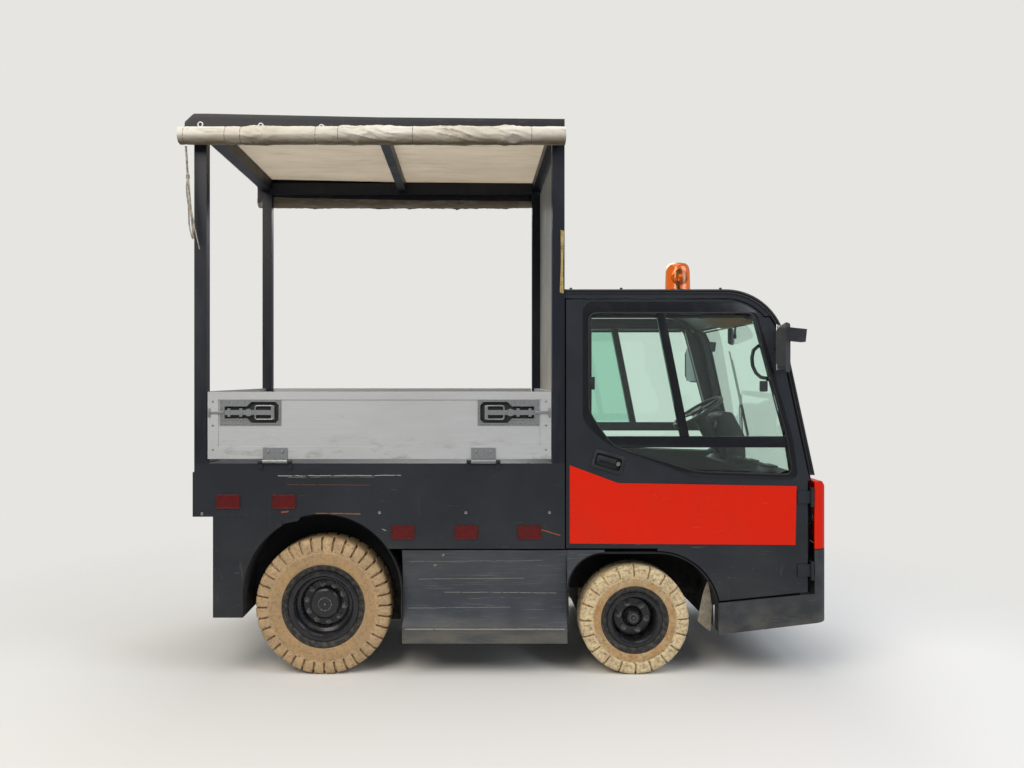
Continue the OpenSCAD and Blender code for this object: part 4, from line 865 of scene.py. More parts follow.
class TRUCK_OT_tyres(bpy.types.Operator):
    """Makes the solid tyres with their lugs, grooves and moulded rings"""
    bl_idname = "truck.tyres"
    bl_label = "Tyres"

    def execute(self, context):
        depth = context.scene.truck_sizes.lug_depth
        # columns: end, profile, axle, number of lugs, columns in a lug, groove, pocket
        tyres = (("rear", REAR_PROFILE, REAR_AXLE, 36, 5, (0.273, 0.030), None),
                 ("front", FRONT_PROFILE, FRONT_AXLE, 20, 9, (0.2165, 0.022), (3, 6, 0.222, 0.252, 0.0035)))
        for end, half, axle, lugs, columns, groove, pocket in tyres:
            right = make_tyre(end + "_tyre_right", half, axle, lugs, columns, groove, pocket, depth)
            pair = both_sides(right, end + "_tyre", 32, wheels(end))
            for side, tyre in zip(SIDES, pair):
                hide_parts("tyre_" + end + "_" + side)
        return {"FINISHED"}


# columns: end, axle, number of nuts, radius of their circle, hub cap's place outwards, ring's radius
NUT_CIRCLES = (("rear", REAR_AXLE, 10, 0.095, 0.042, 0.030), ("front", FRONT_AXLE, 6, 0.071, 0.036, 0.016))
# The nuts' seat outside the tyre's middle plane, and what stands up from it, in metres
NUT_SEAT = 0.005
NUT_HEIGHT, WASHER_HEIGHT, THREAD_END = 0.017, 0.004, 0.024


class TRUCK_OT_wheel_nuts(bpy.types.Operator):
    """Makes the wheel nuts with their studs and the marks of the hub caps"""
    bl_idname = "truck.wheel_nuts"
    bl_label = "Wheel nuts"

    def execute(self, context):
        across = context.scene.truck_sizes.nut_width / 2
        for end, axle, count, circle, cap, cap_r in NUT_CIRCLES:
            y = -(axle.y + NUT_SEAT)
            place = Vector((axle.x + circle, y, axle.z))
            nut = rod("nut", place, place + OUT * NUT_HEIGHT, across, 6, 1.2 * MM)
            washer = rod("washer", place, place + OUT * WASHER_HEIGHT, across * 1.22, 24, 0.8 * MM)
            thread = rod("thread", place, place + OUT * THREAD_END, across * 0.52, 16, 1.5 * MM)
            set_of_nuts = turned_copies(join(end + "_nuts_right", [nut, washer, thread]), count,
                                        (axle.x, y, axle.z), 9)
            centre = Vector((axle.x, -(axle.y + cap), axle.z))
            rim = cap_r + 0.004
            ring = lathe("cap_ring", [(cap_r, 0.0), (cap_r, -0.002), (rim, -0.002), (rim, 0.0)], centre, 40)
            pin = rod("pin", centre, centre + OUT * 0.006, 0.006, 16, 1 * MM)
            right = join(end + "_nuts_right", [set_of_nuts, ring, pin])
            both_sides(right, "nut", bodies=wheels(end))
        return {"FINISHED"}


# Doors

# columns: place along the truck, height, in mm
WINDOW = ((405, 1778), (1212, 1778), (1372, 1172), (1401, 988), (930, 1003), (545, 1120), (497, 1160),
          (405, 1295))
BAND = ((377, 1832), (377, 1256), (430, 1195), (509, 1130), (930, 976), (1429, 964), (1400, 1172),
        (1228, 1780), (1190, 1806), (1145, 1826), (1100, 1832))
WINDOW_BARS = ([(739, 1774), (777, 1774), (896, 1176), (858, 1176)],
               [(498, 1171), (1367, 1171), (1377, 1123), (546, 1123)])
# columns: place along the truck from and to, height from and to, in metres
PANE_RAILS = ((0.415, 0.880, 1.150, 1.166), (0.415, 1.195, 1.756, 1.772), (0.405, 0.421, 1.290, 1.772))
# The handle's middle and the key's place about it, in mm, and the handle's turn
HANDLE = (500, 1050)
LOCK = (50, 4)
HANDLE_TURN = math.radians(-16)


def metres(points, centre=(0, 0), turn=0.0):
    """Points in mm, turned about their own origin and moved to a centre, in metres."""
    result = []
    for x, z in points:
        result.append(((centre[0] + x * math.cos(turn) - z * math.sin(turn)) * MM,
                       (centre[1] + x * math.sin(turn) + z * math.cos(turn)) * MM))
    return result


def rectangle(width, height):
    """A rectangle about its own middle, in mm."""
    x, z = width / 2, height / 2
    return [(-x, -z), (x, -z), (x, z), (-x, z)]


class TRUCK_OT_door_windows(bpy.types.Operator):
    """Makes the black band, the rubber lip and the sliding panes' frames and catches of the door windows"""
    bl_idname = "truck.door_windows"
    bl_label = "Door windows"

    def execute(self, context):
        seal = context.scene.truck_sizes.seal_width / 2
        hole = rounded_outline(metres(WINDOW), 0.045, 8)
        band = plate("window_band_right", [rounded_outline(metres(BAND), 0.05, 8), hole], DOOR_Y, 0.0026,
                     0.0008)
        both_sides(band, "band", bodies=DOORS)
        covers = [plate("bar", [metres(line)], DOOR_Y, 0.0016, 0.0004) for line in WINDOW_BARS]
        both_sides(join("window_bars_right", covers), "band", bodies=DOORS)
        lip = tube("window_lip_right", [(x, -DOOR_Y - 0.0015, z) for x, z in hole], seal, True, 3)
        both_sides(lip, "rubber", bodies=DOORS)
        # the sliding pane's rails stand inside the glass
        rails = [box("rail", (x0, -0.6305, z0), (x1, -0.6235, z1), 0.002) for x0, x1, z0, z1 in PANE_RAILS]
        catch = box("catch", (0.399, -0.637, 1.403), (0.436, -0.628, 1.466), 0.003)
        grip = box("grip", (0.408, -0.643, 1.420), (0.426, -0.636, 1.450), 0.003)
        both_sides(join("sliding_pane_right", [*rails, catch, grip]), "plastic", bodies=DOORS)
        return {"FINISHED"}


class TRUCK_OT_door_handles(bpy.types.Operator):
    """Makes the recessed door handles with their rings, levers and locks"""
    bl_idname = "truck.door_handles"
    bl_label = "Door handles"

    def execute(self, context):
        def around(width, height, radius, shift=(0, 0)):
            points = [(x + shift[0], z + shift[1]) for x, z in rectangle(width, height)]
            return rounded_outline(metres(points, HANDLE, HANDLE_TURN), radius, 6)

        ring = plate("ring", [around(158, 92, 0.020), around(128, 62, 0.014)], DOOR_Y, 0.005, 0.0018)
        bowl = plate("bowl", [around(134, 68, 0.010)], DOOR_Y - 0.0135, 0.002, 0.0005)
        lever = plate("lever", [around(96, 22, 0.009, (-10, 10))], DOOR_Y - 0.006, 0.008, 0.0025)
        stem = plate("stem", [around(14, 34, 0.004, (-50, 4))], DOOR_Y - 0.010, 0.010, 0.002)
        right = join("door_handle_right", [ring, bowl, lever, stem])
        both_sides(right, "plastic", bodies=DOORS)
        x, z = metres([LOCK], HANDLE, HANDLE_TURN)[0]
        barrel = rod("lock", (x, -DOOR_Y + 0.012, z), (x, -DOOR_Y - 0.002, z), 0.010, 24, 0.001)
        keyway = box("keyway", (x - 0.0012, -DOOR_Y - 0.0026, z - 0.005),
                     (x + 0.0012, -DOOR_Y - 0.0018, z + 0.005))
        both_sides(join("door_lock_right", [barrel, keyway]), "steel", bodies=DOORS)
        return {"FINISHED"}


# Canopy

# columns: place along the truck, height of the tarpaulin's underside
ROOF_LINE = ((-1.565, 2.706), (-1.522, 2.7463), (-1.459, 2.7463), (-0.616, 2.7283), (0.286, 2.7203))
ROOF_BARS = (-1.459, -0.596, 0.226)
# Half width of the tarpaulin's flat part, the drop of its turned-down edges, and how high it lies on its line
TARP_HALF, TARP_DROP, TARP_LIFT = 0.6515, 0.107, 0.0022
# Depth of the tarpaulin's sag between two bars, and heights of its long folds and its small wrinkles
TARP_SAG, TARP_FOLD, TARP_WRINKLE = 0.009, 0.0022, 0.0012
EYELETS_X = (-1.487, -1.193, -0.898, -0.604, -0.310, -0.016)
# The eyelets' face across the truck and how far they lie below the roof's line
EYELET_Y, EYELET_DROP = -0.6555, 0.053
# columns: radius, distance, in metres
EYELET = ((0.0080, 0.0005), (0.0085, -0.0022), (0.0115, -0.0030), (0.0145, -0.0012), (0.0150, 0.0008))
# The roll's middle across and in height, its radius, and its two ends along the truck
ROLL_Y, ROLL_Z, ROLL_R = 0.7031, 2.623, 0.0482
ROLL_X = (-1.568, 0.282)
# The roll's number of turns, the radius where they start, and how far the layers lie inside their line
ROLL_TURNS, ROLL_CORE, ROLL_SLACK = 8.1, 0.009, 0.0035
# Places along the truck where seams and ties press the roll
ROLL_SEAMS = (-1.543, -1.345, -1.271, -0.913, -0.805, -0.450, 0.118)
# columns: middle of a crumpled stretch along the truck, half width
ROLL_CRUMPLES = ((-1.180, 0.060), (-0.655, 0.150), (-0.240, 0.110), (0.010, 0.070))
# columns: folds in a metre, their slant round the roll, share of the height
ROLL_FOLDS = ((9.0, 1.1, 1.0), (14.0, -1.6, 0.8), (27.0, 1.2, 0.4))


def on_line(line, x):
    """Height of a line of points at a place."""
    for (x0, z0), (x1, z1) in zip(line, line[1:]):
        if x <= x1:
            return z0 + (z1 - z0) * max(0.0, x - x0) / (x1 - x0)
    return line[-1][1]


def grid(name, across, along, shape):
    """A grid whose points a function places by two fractions from 0 to 1."""
    bpy.ops.mesh.primitive_grid_add(x_subdivisions=across, y_subdivisions=along, size=1.0, location=(0, 0, 0))
    piece = bpy.context.object
    piece.name = name
    for vertex in piece.data.vertices:
        vertex.co = shape(vertex.co.x + 0.5, vertex.co.y + 0.5)
    return piece


def thicken(piece, thickness):
    """Gives a sheet its thickness, half to each side."""
    return apply_modifier(piece, "SOLIDIFY", thickness=thickness, offset=0.0)


def wrinkle(*place):
    """A smooth repeatable noise from -1 to 1."""
    return noise.noise(Vector(place))


# Route of the tie strap from the roll's end down, in metres
STRAP_ROUTE = ((-1.540, -0.703, 2.574), (-1.539, -0.703, 2.550), (-1.536, -0.703, 2.510),
               (-1.533, -0.704, 2.460), (-1.529, -0.704, 2.410), (-1.525, -0.703, 2.360),
               (-1.521, -0.702, 2.310), (-1.516, -0.702, 2.260), (-1.511, -0.701, 2.210),
               (-1.507, -0.701, 2.165), (-1.504, -0.701, 2.130))
STRAP_KNOT = Vector((-1.5303, -0.704, 2.428))
# Route of the thin tail below the knot, and the drop of the tape's return
STRAP_TAIL = ((-1.526, -0.709, 2.36), (-1.508, -0.710, 2.25), (-1.490, -0.706, 2.150),
              (-1.476, -0.700, 2.080))
RETURN_DROP = 0.300


class TRUCK_OT_tie_strap(bpy.types.Operator):
    """Makes the tie strap that hangs from the right roll's rear end"""
    bl_idname = "truck.tie_strap"
    bl_label = "Tie strap"

    def execute(self, context):
        # the first strand follows the CAD's strap; from its knot hang the tape's return and its thin tail
        knot = STRAP_KNOT
        swing = [(knot.x - 0.012 * math.sin(math.pi * t) - 0.004 * math.sin(3 * math.pi * t) + 0.024 * t,
                  -0.704 - 0.003 * t, knot.z - RETURN_DROP * t) for t in [k / 12 for k in range(13)]]
        tail = [tuple(knot), *STRAP_TAIL]
        ring = [(0.005, -0.003), (0.009, -0.002), (0.009, 0.002), (0.005, 0.003)]
        loops = [lathe("tie_strap_knot", ring, knot + Vector((0, 0, rise)), 14, True, (0.4, turn, 0.3))
                 for rise, turn in ((0.004, 0.5), (-0.005, -0.6))]
        finish_piece(join("tie_strap_knot", loops), "truck", "webbing")
        strands = (("tie_strap_webbing", STRAP_ROUTE, 0.005, ["tie_strap_knot"]),
                   ("tie_strap_return", swing, 0.0036, []), ("tie_strap_tail", tail, 0.0024, []))
        for name, route, radius, parts in strands:
            strand = tube(name, [Vector(p) for p in route], radius, False, 3)
            finish_piece(strand, "truck", "webbing")
            length = sum((Vector(q) - Vector(p)).length for p, q in zip(route, route[1:]))
            tuple(route[0])
            [list(p) for p in route]
            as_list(parts)
            if name == "tie_strap_webbing":
                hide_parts("tie_strap")
        return {"FINISHED"}


class TRUCK_OT_canopy_roof(bpy.types.Operator):
    """Makes the roof tarpaulin, sagging between its cross members and turned down along its sides"""
    bl_idname = "truck.canopy_roof"
    bl_label = "Canopy roof"

    def execute(self, context):
        thickness = context.scene.truck_sizes.cloth_thickness
        half, drop = TARP_HALF, TARP_DROP
        x0, x1 = ROOF_LINE[0][0], ROOF_LINE[-1][0]

        def sag(x, y):
            for a, b in zip(ROOF_BARS, ROOF_BARS[1:]):
                if a < x < b and abs(y) < 0.6:
                    return math.sin(math.pi * (x - a) / (b - a)) * math.cos(math.pi * y / 1.2)
            return 0.0

        def shape(u, v):
            x = x0 + (x1 - x0) * u
            s = (v - 0.5) * 2 * (half + drop)
            top = on_line(ROOF_LINE, x) + TARP_LIFT
            if abs(s) <= half:
                dip = sag(x, s)
                fold = TARP_FOLD * wrinkle(x * 2.2, s * 9, 0.3) + TARP_WRINKLE * wrinkle(x * 9, s * 22, 4.1)
                return (x, s, top - TARP_SAG * dip + fold * min(1.0, dip * 3))
            side = math.copysign(1.0, s)
            down = abs(s) - half
            wave = 0.0016 * wrinkle(x * 6, side, down * 10) * down / drop
            hem = 0.004 * abs(wrinkle(x * 3.5, side * 7, 0)) * down / drop
            return (x, side * (half + 0.0004 + abs(wave)), top - down - hem)

        sheet = grid("roof_tarpaulin", 165, 125, shape)
        thicken(sheet, thickness)
        finish_piece(sheet, "truck", "tarp", 50)
        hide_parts("roof_sheet")
        # white plastic eyelets along the turned-down edges, half behind the rolled curtain
        eyes = [lathe("eyelet", EYELET, Vector((x, EYELET_Y, on_line(ROOF_LINE, x) - EYELET_DROP)), 28)
                for x in EYELETS_X]
        both_sides(join("eyelets_right", eyes), "eyelet")
        return {"FINISHED"}


class TRUCK_OT_curtain_rolls(bpy.types.Operator):
    """Makes the rolled side curtains as spirals of one sheet each"""
    bl_idname = "truck.curtain_rolls"
    bl_label = "Rolled side curtains"

    def execute(self, context):
        thickness = context.scene.truck_sizes.cloth_thickness
        # the curtain reaches from the roof's edge down to the boards, 1.3 m, and the folds take 2 % of it
        pitch = (ROLL_R - ROLL_CORE) / ROLL_TURNS

        def shape_for(seed):
            def shape(u, v):
                x = ROLL_X[0] + (ROLL_X[1] - ROLL_X[0]) * u
                # coarse steps for the hidden turns, fine ones for the outer turn
                last = (ROLL_R - pitch - ROLL_CORE) / (ROLL_R - ROLL_CORE)
                part = v / 0.52 * last if v < 0.52 else last + (v - 0.52) / 0.48 * (1 - last)
                r = ROLL_CORE + part * (ROLL_R - ROLL_CORE)
                angle = (r - ROLL_CORE) / pitch * math.tau
                ends = min(1.0, 8 * min(u, 1 - u))
                # narrow grooves where seams and thin ties press the roll, and slanting folds between them
                pinch = sum(math.exp(-((x - seam) / 0.006) ** 2) for seam in ROLL_SEAMS)
                shift = 0.006 * wrinkle(angle * 0.4, seed, 2.0) * (1 - ends)
                # sharp slanting folds in the crumpled stretches, on the outer turns only
                outer = max(0.0, (r - 0.036) / (ROLL_R - 0.036)) ** 2
                crumple = 0.18 + sum(math.exp(-((x - place) / wide) ** 2) for place, wide in ROLL_CRUMPLES)
                ridge = 0
                for scale, lean, share in ROLL_FOLDS:
                    across = x * scale + lean * math.sin(angle + scale)
                    fold = abs(wrinkle(across, angle * 0.8, seed + scale))
                    ridge += share * max(0.0, 1 - 4.5 * fold) ** 1.5
                crease = 0.0068 * ridge * min(1.0, crumple) + 0.0018 * wrinkle(x * 7, angle * 0.55, seed)
                swell = 1 + 0.012 * wrinkle(x * 1.7, seed, 9)
                r_now = r * (1 - 0.05 * pinch) * swell - ROLL_SLACK + crease * outer
                turn = angle + 0.18 * wrinkle(x * 1.1, seed, 1) + math.radians(200)
                sagging = 0.004 * wrinkle(x * 1.5, seed, 3)
                return (x + shift, r_now * math.cos(turn) - ROLL_Y, ROLL_Z + r_now * math.sin(turn) + sagging)

            return shape

        for side, sign in SIDES.items():
            roll = grid("side_curtain_roll_" + side, 240, 140, shape_for(3.0 if sign < 0 else 11.0))
            thicken(roll, thickness)
            if sign > 0:
                move_over(roll)
            finish_piece(roll, "truck", "roll", 60)
            if sign < 0:
                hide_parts("curtain_rolls")
        return {"FINISHED"}


class TRUCK_OT_front_curtain(bpy.types.Operator):
    """Makes the upright curtain at the canopy's front end with its shallow ripples"""
    bl_idname = "truck.front_curtain"
    bl_label = "Front curtain"

    def execute(self, context):
        low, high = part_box("front_curtain")
        x = (low[0] + high[0]) / 2

        def shape(u, v):
            y = low[1] + (high[1] - low[1]) * u
            z = low[2] + (high[2] - low[2]) * v
            edge = min(1.0, 12 * min(u, 1 - u), 12 * min(v, 1 - v))
            ripple = 0.006 * wrinkle(y * 4, z * 0.8, 2) + 0.0025 * wrinkle(y * 16, z * 2.4, 6)
            return (x + ripple * edge, y, z)

        sheet = grid("front_curtain_cloth", 90, 110, shape)
        thicken(sheet, context.scene.truck_sizes.cloth_thickness)
        finish_piece(sheet, "truck", "wall", 60)
        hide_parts("front_curtain")
        return {"FINISHED"}


# Cab

SEAT_Y = 0.290
# A sewn channel's half width, as a share of the cushion's half, and its depth in metres
CHANNEL_WIDTH, CHANNEL_DEPTH = 0.035, 0.007


def cushion(name, low, high, seams, crown, lean=0.0, pivot=None):
    """A padded block with crowned faces and sewn channels across it."""
    size = Vector(high) - Vector(low)
    piece = box(name, low, high, 0.022, 3)
    only(piece)
    bpy.ops.object.mode_set(mode="EDIT")
    bpy.ops.mesh.select_all(action="SELECT")
    bpy.ops.mesh.subdivide(number_cuts=9)
    bpy.ops.object.mode_set(mode="OBJECT")
    middle = (Vector(low) + Vector(high)) / 2
    thin = min(range(3), key=lambda i: size[i])
    flat = [i for i in range(3) if i != thin]
    for vertex in piece.data.vertices:
        a, b = [(vertex.co[i] - middle[i]) / (size[i] / 2) for i in flat]
        bulge = max(0.0, 1 - a * a) * max(0.0, 1 - b * b)
        channel = sum(math.exp(-((b - seam) / CHANNEL_WIDTH) ** 2) for seam in seams)
        side = 1 if vertex.co[thin] > middle[thin] else -1
        vertex.co[thin] += side * (crown * bulge ** 0.6 - CHANNEL_DEPTH * channel * min(1.0, 4 * bulge))
        for i, value in zip(flat, (a, b)):
            inward = 0.010 * (1 - abs((vertex.co[thin] - middle[thin]) / (size[thin] / 2)) ** 2)
            vertex.co[i] -= math.copysign(inward, value) * (abs(value) > 0.9) * 0.3
    if lean:
        piece.data.transform(turn_about(pivot, lean, "Y"))
    apply_modifier(piece, "SUBSURF", levels=1)
    return piece


class TRUCK_OT_seats(bpy.types.Operator):
    """Makes the padded cushions and backs of both seats"""
    bl_idname = "truck.seats"
    bl_label = "Seats"

    def execute(self, context):
        for side, sign in SIDES.items():
            y = sign * SEAT_Y
            base = cushion("seat_cushion_" + side, (0.436, y - 0.212, 0.712), (0.868, y + 0.212, 0.790),
                           (-0.5, 0.0, 0.5), 0.010)
            back = cushion("seat_back_" + side, (0.432, y - 0.205, 0.806), (0.496, y + 0.205, 1.100),
                           (-0.4, 0.35), 0.010, math.radians(-9), (0.464, y, 0.80))
            for piece in (base, back):
                finish_piece(piece, "truck", "vinyl", 60)
            shell = box("seat_shell_" + side, (0.412, y - 0.190, 0.702), (0.852, y + 0.190, 0.714), 0.005)
            stay = box("stay", (0.398, y - 0.050, 0.704), (0.412, y + 0.050, 0.960), 0.004)
            frame_piece = join("seat_shell_" + side, [shell, stay])
            finish_piece(frame_piece, "truck", "plastic")
            if sign < 0:
                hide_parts("seats")
        return {"FINISHED"}


# columns: side, turn inwards in degrees, height in metres
MIRRORS = (("right", -30, 1.606), ("left", -40, 1.548))
# Middles of the right mirror's face, without its height, and of the inside mirror, in metres
MIRROR_AT = (1.322, -0.724)
INSIDE_MIRROR_AT = (1.312, 0.0, 1.696)


class TRUCK_OT_mirror_glasses(bpy.types.Operator):
    """Makes the mirrors' glasses and the inside mirror"""
    bl_idname = "truck.mirror_glasses"
    bl_label = "Mirror glasses"

    def execute(self, context):
        for side, turn, z in MIRRORS:
            pane = box("mirror_glass_" + side, (-0.0215, -0.065, -0.108), (-0.0185, 0.065, 0.108), 0.0012)
            turn_in = Matrix.Rotation(math.radians(turn), 4, "Z")
            pane.data.transform(Matrix.Translation((*MIRROR_AT, z)) @ turn_in)
            if side == "left":
                move_over(pane)
            finish_piece(pane, "door_" + side, "mirror")
        # the inside mirror faces the left seat
        facing = Matrix.Translation(INSIDE_MIRROR_AT) @ Matrix.Rotation(math.radians(-22), 4, "Z")
        head = box("inside_mirror", (-0.012, -0.075, -0.046), (0.014, 0.075, 0.046), 0.010, 3)
        ball = rod("ball", (0.012, 0, 0.004), (0.030, 0, 0.004), 0.017, 20, 0.004)
        pane = box("inside_mirror_glass", (-0.0140, -0.068, -0.040), (-0.0115, 0.068, 0.040), 0.001)
        for piece in (head, ball, pane):
            piece.data.transform(facing)
        arm = rod("arm", (1.338, 0.0, 1.702), (1.340, 0.0, 1.776), 0.006, 12)
        finish_piece(join("inside_mirror", [head, ball, arm]), "truck", "plastic")
        finish_piece(pane, "truck", "mirror")
        return {"FINISHED"}


class TRUCK_OT_wiper(bpy.types.Operator):
    """Makes the wiper with its two arms on the windscreen"""
    bl_idname = "truck.wiper"
    bl_label = "Wiper"

    def execute(self, context):
        def at(z, y, out):
            return (screen_x(z) + out, y, z)

        arms = [rod("arm", at(0.985, 0.40, 0.012), at(1.36, 0.20, 0.014), 0.004, 10),
                rod("arm", at(0.985, 0.44, 0.012), at(1.34, 0.24, 0.014), 0.003, 10),
                rod("pivot", at(0.985, 0.40, -0.004), at(0.985, 0.40, 0.020), 0.011, 16, 0.002),
                rod("pivot", at(0.985, 0.44, -0.004), at(0.985, 0.44, 0.018), 0.008, 16, 0.002),
                rod("blade", at(1.07, 0.22, 0.006), at(1.62, 0.22, 0.006), 0.005, 8),
                rod("spine", at(1.12, 0.22, 0.014), at(1.57, 0.22, 0.014), 0.003, 8)]
        finish_piece(join("wiper", arms), "truck", "plastic")
        return {"FINISHED"}


# Boards and body

# columns: place along a latch plate from its end nearer the post, height, in mm
PLATE_RIVETS = ((8, 8), (8, 44), (8, 82), (8, 118), (46, 10), (84, 10), (122, 10), (46, 116), (84, 116),
                (122, 116), (160, 5), (200, 5), (240, 5), (280, 6), (160, 121), (200, 121), (240, 121),
                (280, 120), (294, 40), (294, 86))
PLATE_AT = (0.058, 0.163)
STRAP_AT = 0.270
BOARD_Z = 1.066
# columns: body, length of the board, its place and turn from the frame in which its outer face is y = 0
BOARDS = (("dropside_right", 1.674, Matrix.Translation((-1.4535, -0.650, BOARD_Z))),
          ("dropside_left", 1.674, TO_OTHER_SIDE @ Matrix.Translation((-1.4535, -0.650, BOARD_Z))),
          ("tailboard", 1.189,
           Matrix.Translation((-1.519, 0.5945, BOARD_Z)) @ Matrix.Rotation(math.radians(-90), 4, "Z")))
LOOP = ((0.172, 0.030), (0.262, 0.030), (0.262, 0.096), (0.172, 0.096))
LATCH_WELL = ((25, 34), (132, 34), (154, 12), (271, 12), (287, 28), (287, 98), (271, 114), (154, 114),
              (132, 92), (25, 92))


def stud(name, place, out, radius, height, sides=16):
    """A low round or six-sided head with rounded edges."""
    place, out = Vector(place), Vector(out)
    return rod(name, place - out * 0.001, place + out * height, radius, sides, height * 0.35, radius * 0.92)


def repeated(piece, places):
    """Copies of a piece moved by each offset, joined with it."""
    return join(piece.name, [piece, *[copy_of(piece, piece.name, Matrix.Translation(p)) for p in places]])


class TRUCK_OT_board_fittings(bpy.types.Operator):
    """Makes the boards' rivets, pull loops, hasps, cap screws, hinge bolts and the near-black plates that
    paint the shade in the latch pockets
    """
    bl_idname = "truck.board_fittings"
    bl_label = "Board fittings"

    def execute(self, context):
        x0, z0 = PLATE_AT
        first = PLATE_RIVETS[0]
        rivet = stud("rivets", (x0 + first[0] * MM, 0.001, z0 + first[1] * MM), OUT, 0.0040, 0.0024, 12)
        rivets = repeated(rivet, [((x - first[0]) * MM, 0, (z - first[1]) * MM) for x, z in PLATE_RIVETS[1:]])
        loop = tube("loop", [(x0 + x, 0.0045, z0 + z) for x, z in rounded_outline(LOOP, 0.012, 4)],
                    0.0038, True, 3)
        screw = stud("cap_screws", (0.025, 0.0, 0.045), OUT, 0.0055, 0.0022)
        screws = repeated(screw, [(0, 0, 0.118), (0, 0, 0.235)])
        hasp = box("hasp", (0.004, -0.0035, z0 + 0.056), (x0 + 0.020, -0.0005, z0 + 0.070), 0.0012)
        nose = box("nose", (0.003, -0.006, z0 + 0.040), (0.013, -0.0005, z0 + 0.086), 0.002)
        end = join("board_end", [rivets, loop, screws, hasp, nose])
        bolt = stud("hinge_bolts", (STRAP_AT + 0.025, -0.004, 0.036), OUT, 0.008, 0.0045, 6)
        hinge = repeated(bolt, [(0.070, 0, 0)])
        # near-black plates on the pocket floors paint the shade in the latch pockets
        well = plate("latch_pocket_shade", [metres(LATCH_WELL, (58, 163))], -0.0170, 0.003, 0.0005)
        for body, length, place in BOARDS:
            turned_end = Matrix.Translation((length, 0, 0)) @ Matrix.Scale(-1, 4, (1, 0, 0))
            ways = (place, place @ turned_end)
            fittings = [copy_of(piece, "part", way) for piece in (end, hinge) for way in ways]
            finish_piece(join(body + "_hardware", fittings), body, "zinc")
            wells = [copy_of(well, "part", way) for way in ways]
            finish_piece(join(body + "_latch_pocket_shade", wells), body, "pocket_shade")
        for piece in (end, hinge, well):
            bpy.data.objects.remove(piece)
        return {"FINISHED"}


# columns: place along the truck and height of a skirt's screw, in metres
SKIRT_SCREWS = ((-1.4805, 0.7987), (-0.616, 0.805), (-0.195, 0.805), (0.2123, 0.805))
# columns: place along the truck and height of a reflector's middle, in metres
REFLECTORS = ((-1.353, 0.858), (-1.080, 0.858), (-0.503, 0.709), (-0.193, 0.709), (0.114, 0.709))


# columns: place across the truck from and to, height from and to, in metres
TAIL_LAMP_BARS = ((-0.534, -0.306, 0.842, 0.850), (-0.534, -0.306, 0.932, 0.940),
                  (-0.534, -0.526, 0.846, 0.936), (-0.314, -0.306, 0.846, 0.936),
                  (-0.458, -0.453, 0.846, 0.936), (-0.384, -0.379, 0.846, 0.936))
# Moves from the bumper's first bolt to the others, in metres
BUMPER_BOLTS = ((0, 0.313, 0), (0, 0.627, 0), (0, 0.940, 0), (0, 0, -0.20), (0, 0.940, -0.20))


class TRUCK_OT_body_screws(bpy.types.Operator):
    """Makes the skirts' screws, the reflectors' frames, the tail lamps' rims and the bumper's bolts"""
    bl_idname = "truck.body_screws"
    bl_label = "Body screws and lamp rims"

    def execute(self, context):
        x, z = SKIRT_SCREWS[0]
        head = stud("skirt_screws_right", (x, -SKIRT_Y, z), OUT, 0.0085, 0.004)
        heads = repeated(head, [(sx - x, 0, sz - z) for sx, sz in SKIRT_SCREWS[1:]])
        x, z = REFLECTORS[0]
        at = (x / MM, z / MM)
        ring = plate("reflector_frames_right",
                     [rounded_outline(metres(rectangle(114, 69), at), 0.006, 4),
                      rounded_outline(metres(rectangle(103, 58), at), 0.004, 4)], SKIRT_Y, 0.0046, 0.0014)
        rings = repeated(ring, [(rx - x, 0, rz - z) for rx, rz in REFLECTORS[1:]])
        both_sides(heads, "steel")
        both_sides(rings, "reflex")
        # tail lamps: a rim round each and the bars between its chambers
        bars = [box("bar", (DECK_REAR_X - 0.007, y0, z0), (DECK_REAR_X, y1, z1), 0.0015)
                for y0, y1, z0, z1 in TAIL_LAMP_BARS]
        both_sides(join("tail_lamp_rims_right", bars), "plastic")
        # bumper bolts, sunk in the front face
        bolt = rod("bumper_bolts", (1.566, -0.470, 0.560), (1.5728, -0.470, 0.560), 0.013, 6, 0.002, 0.012)
        finish_piece(repeated(bolt, BUMPER_BOLTS), "truck", "steel")
        return {"FINISHED"}


ARCH_FLAP = ((946, 262), (1012, 206), (1020, 330), (1000, 466), (975, 400))
POST_STRIP = ((262, 1876), (281, 1872), (279, 2020), (284, 2178), (266, 2182), (268, 2030))
# columns: name, outline of (place along the truck, height) in mm, plane, thickness, material, slot
# the two splash guards, in the black well finish, also paint the shade that reaches down to the ground either
# side of the rear wheels
SIDE_SHEETS = (("splash_guard_rear", [(-1330, 292), (-1030, 292), (-1020, 490), (-1330, 490)], 0.420, 0.004,
           "well", "bumper_plastic"),
          ("mid_guard_and_shade", [(-760, 215), (-480, 215), (-480, 490), (-790, 490)], 0.420, 0.004,
           "well", "bumper_plastic"),
          ("door_sill_seal", [(1020, 335), (1460, 375), (1460, 430), (1020, 400)], 0.579, 0.006,
           "rubber", "bumper_plastic"),
          ("arch_corner_trim", [(-1094, 748), (-1012, 764), (-1000, 786), (-1094, 786)], 0.6450, 0.0045,
           "body", "body_paint"))


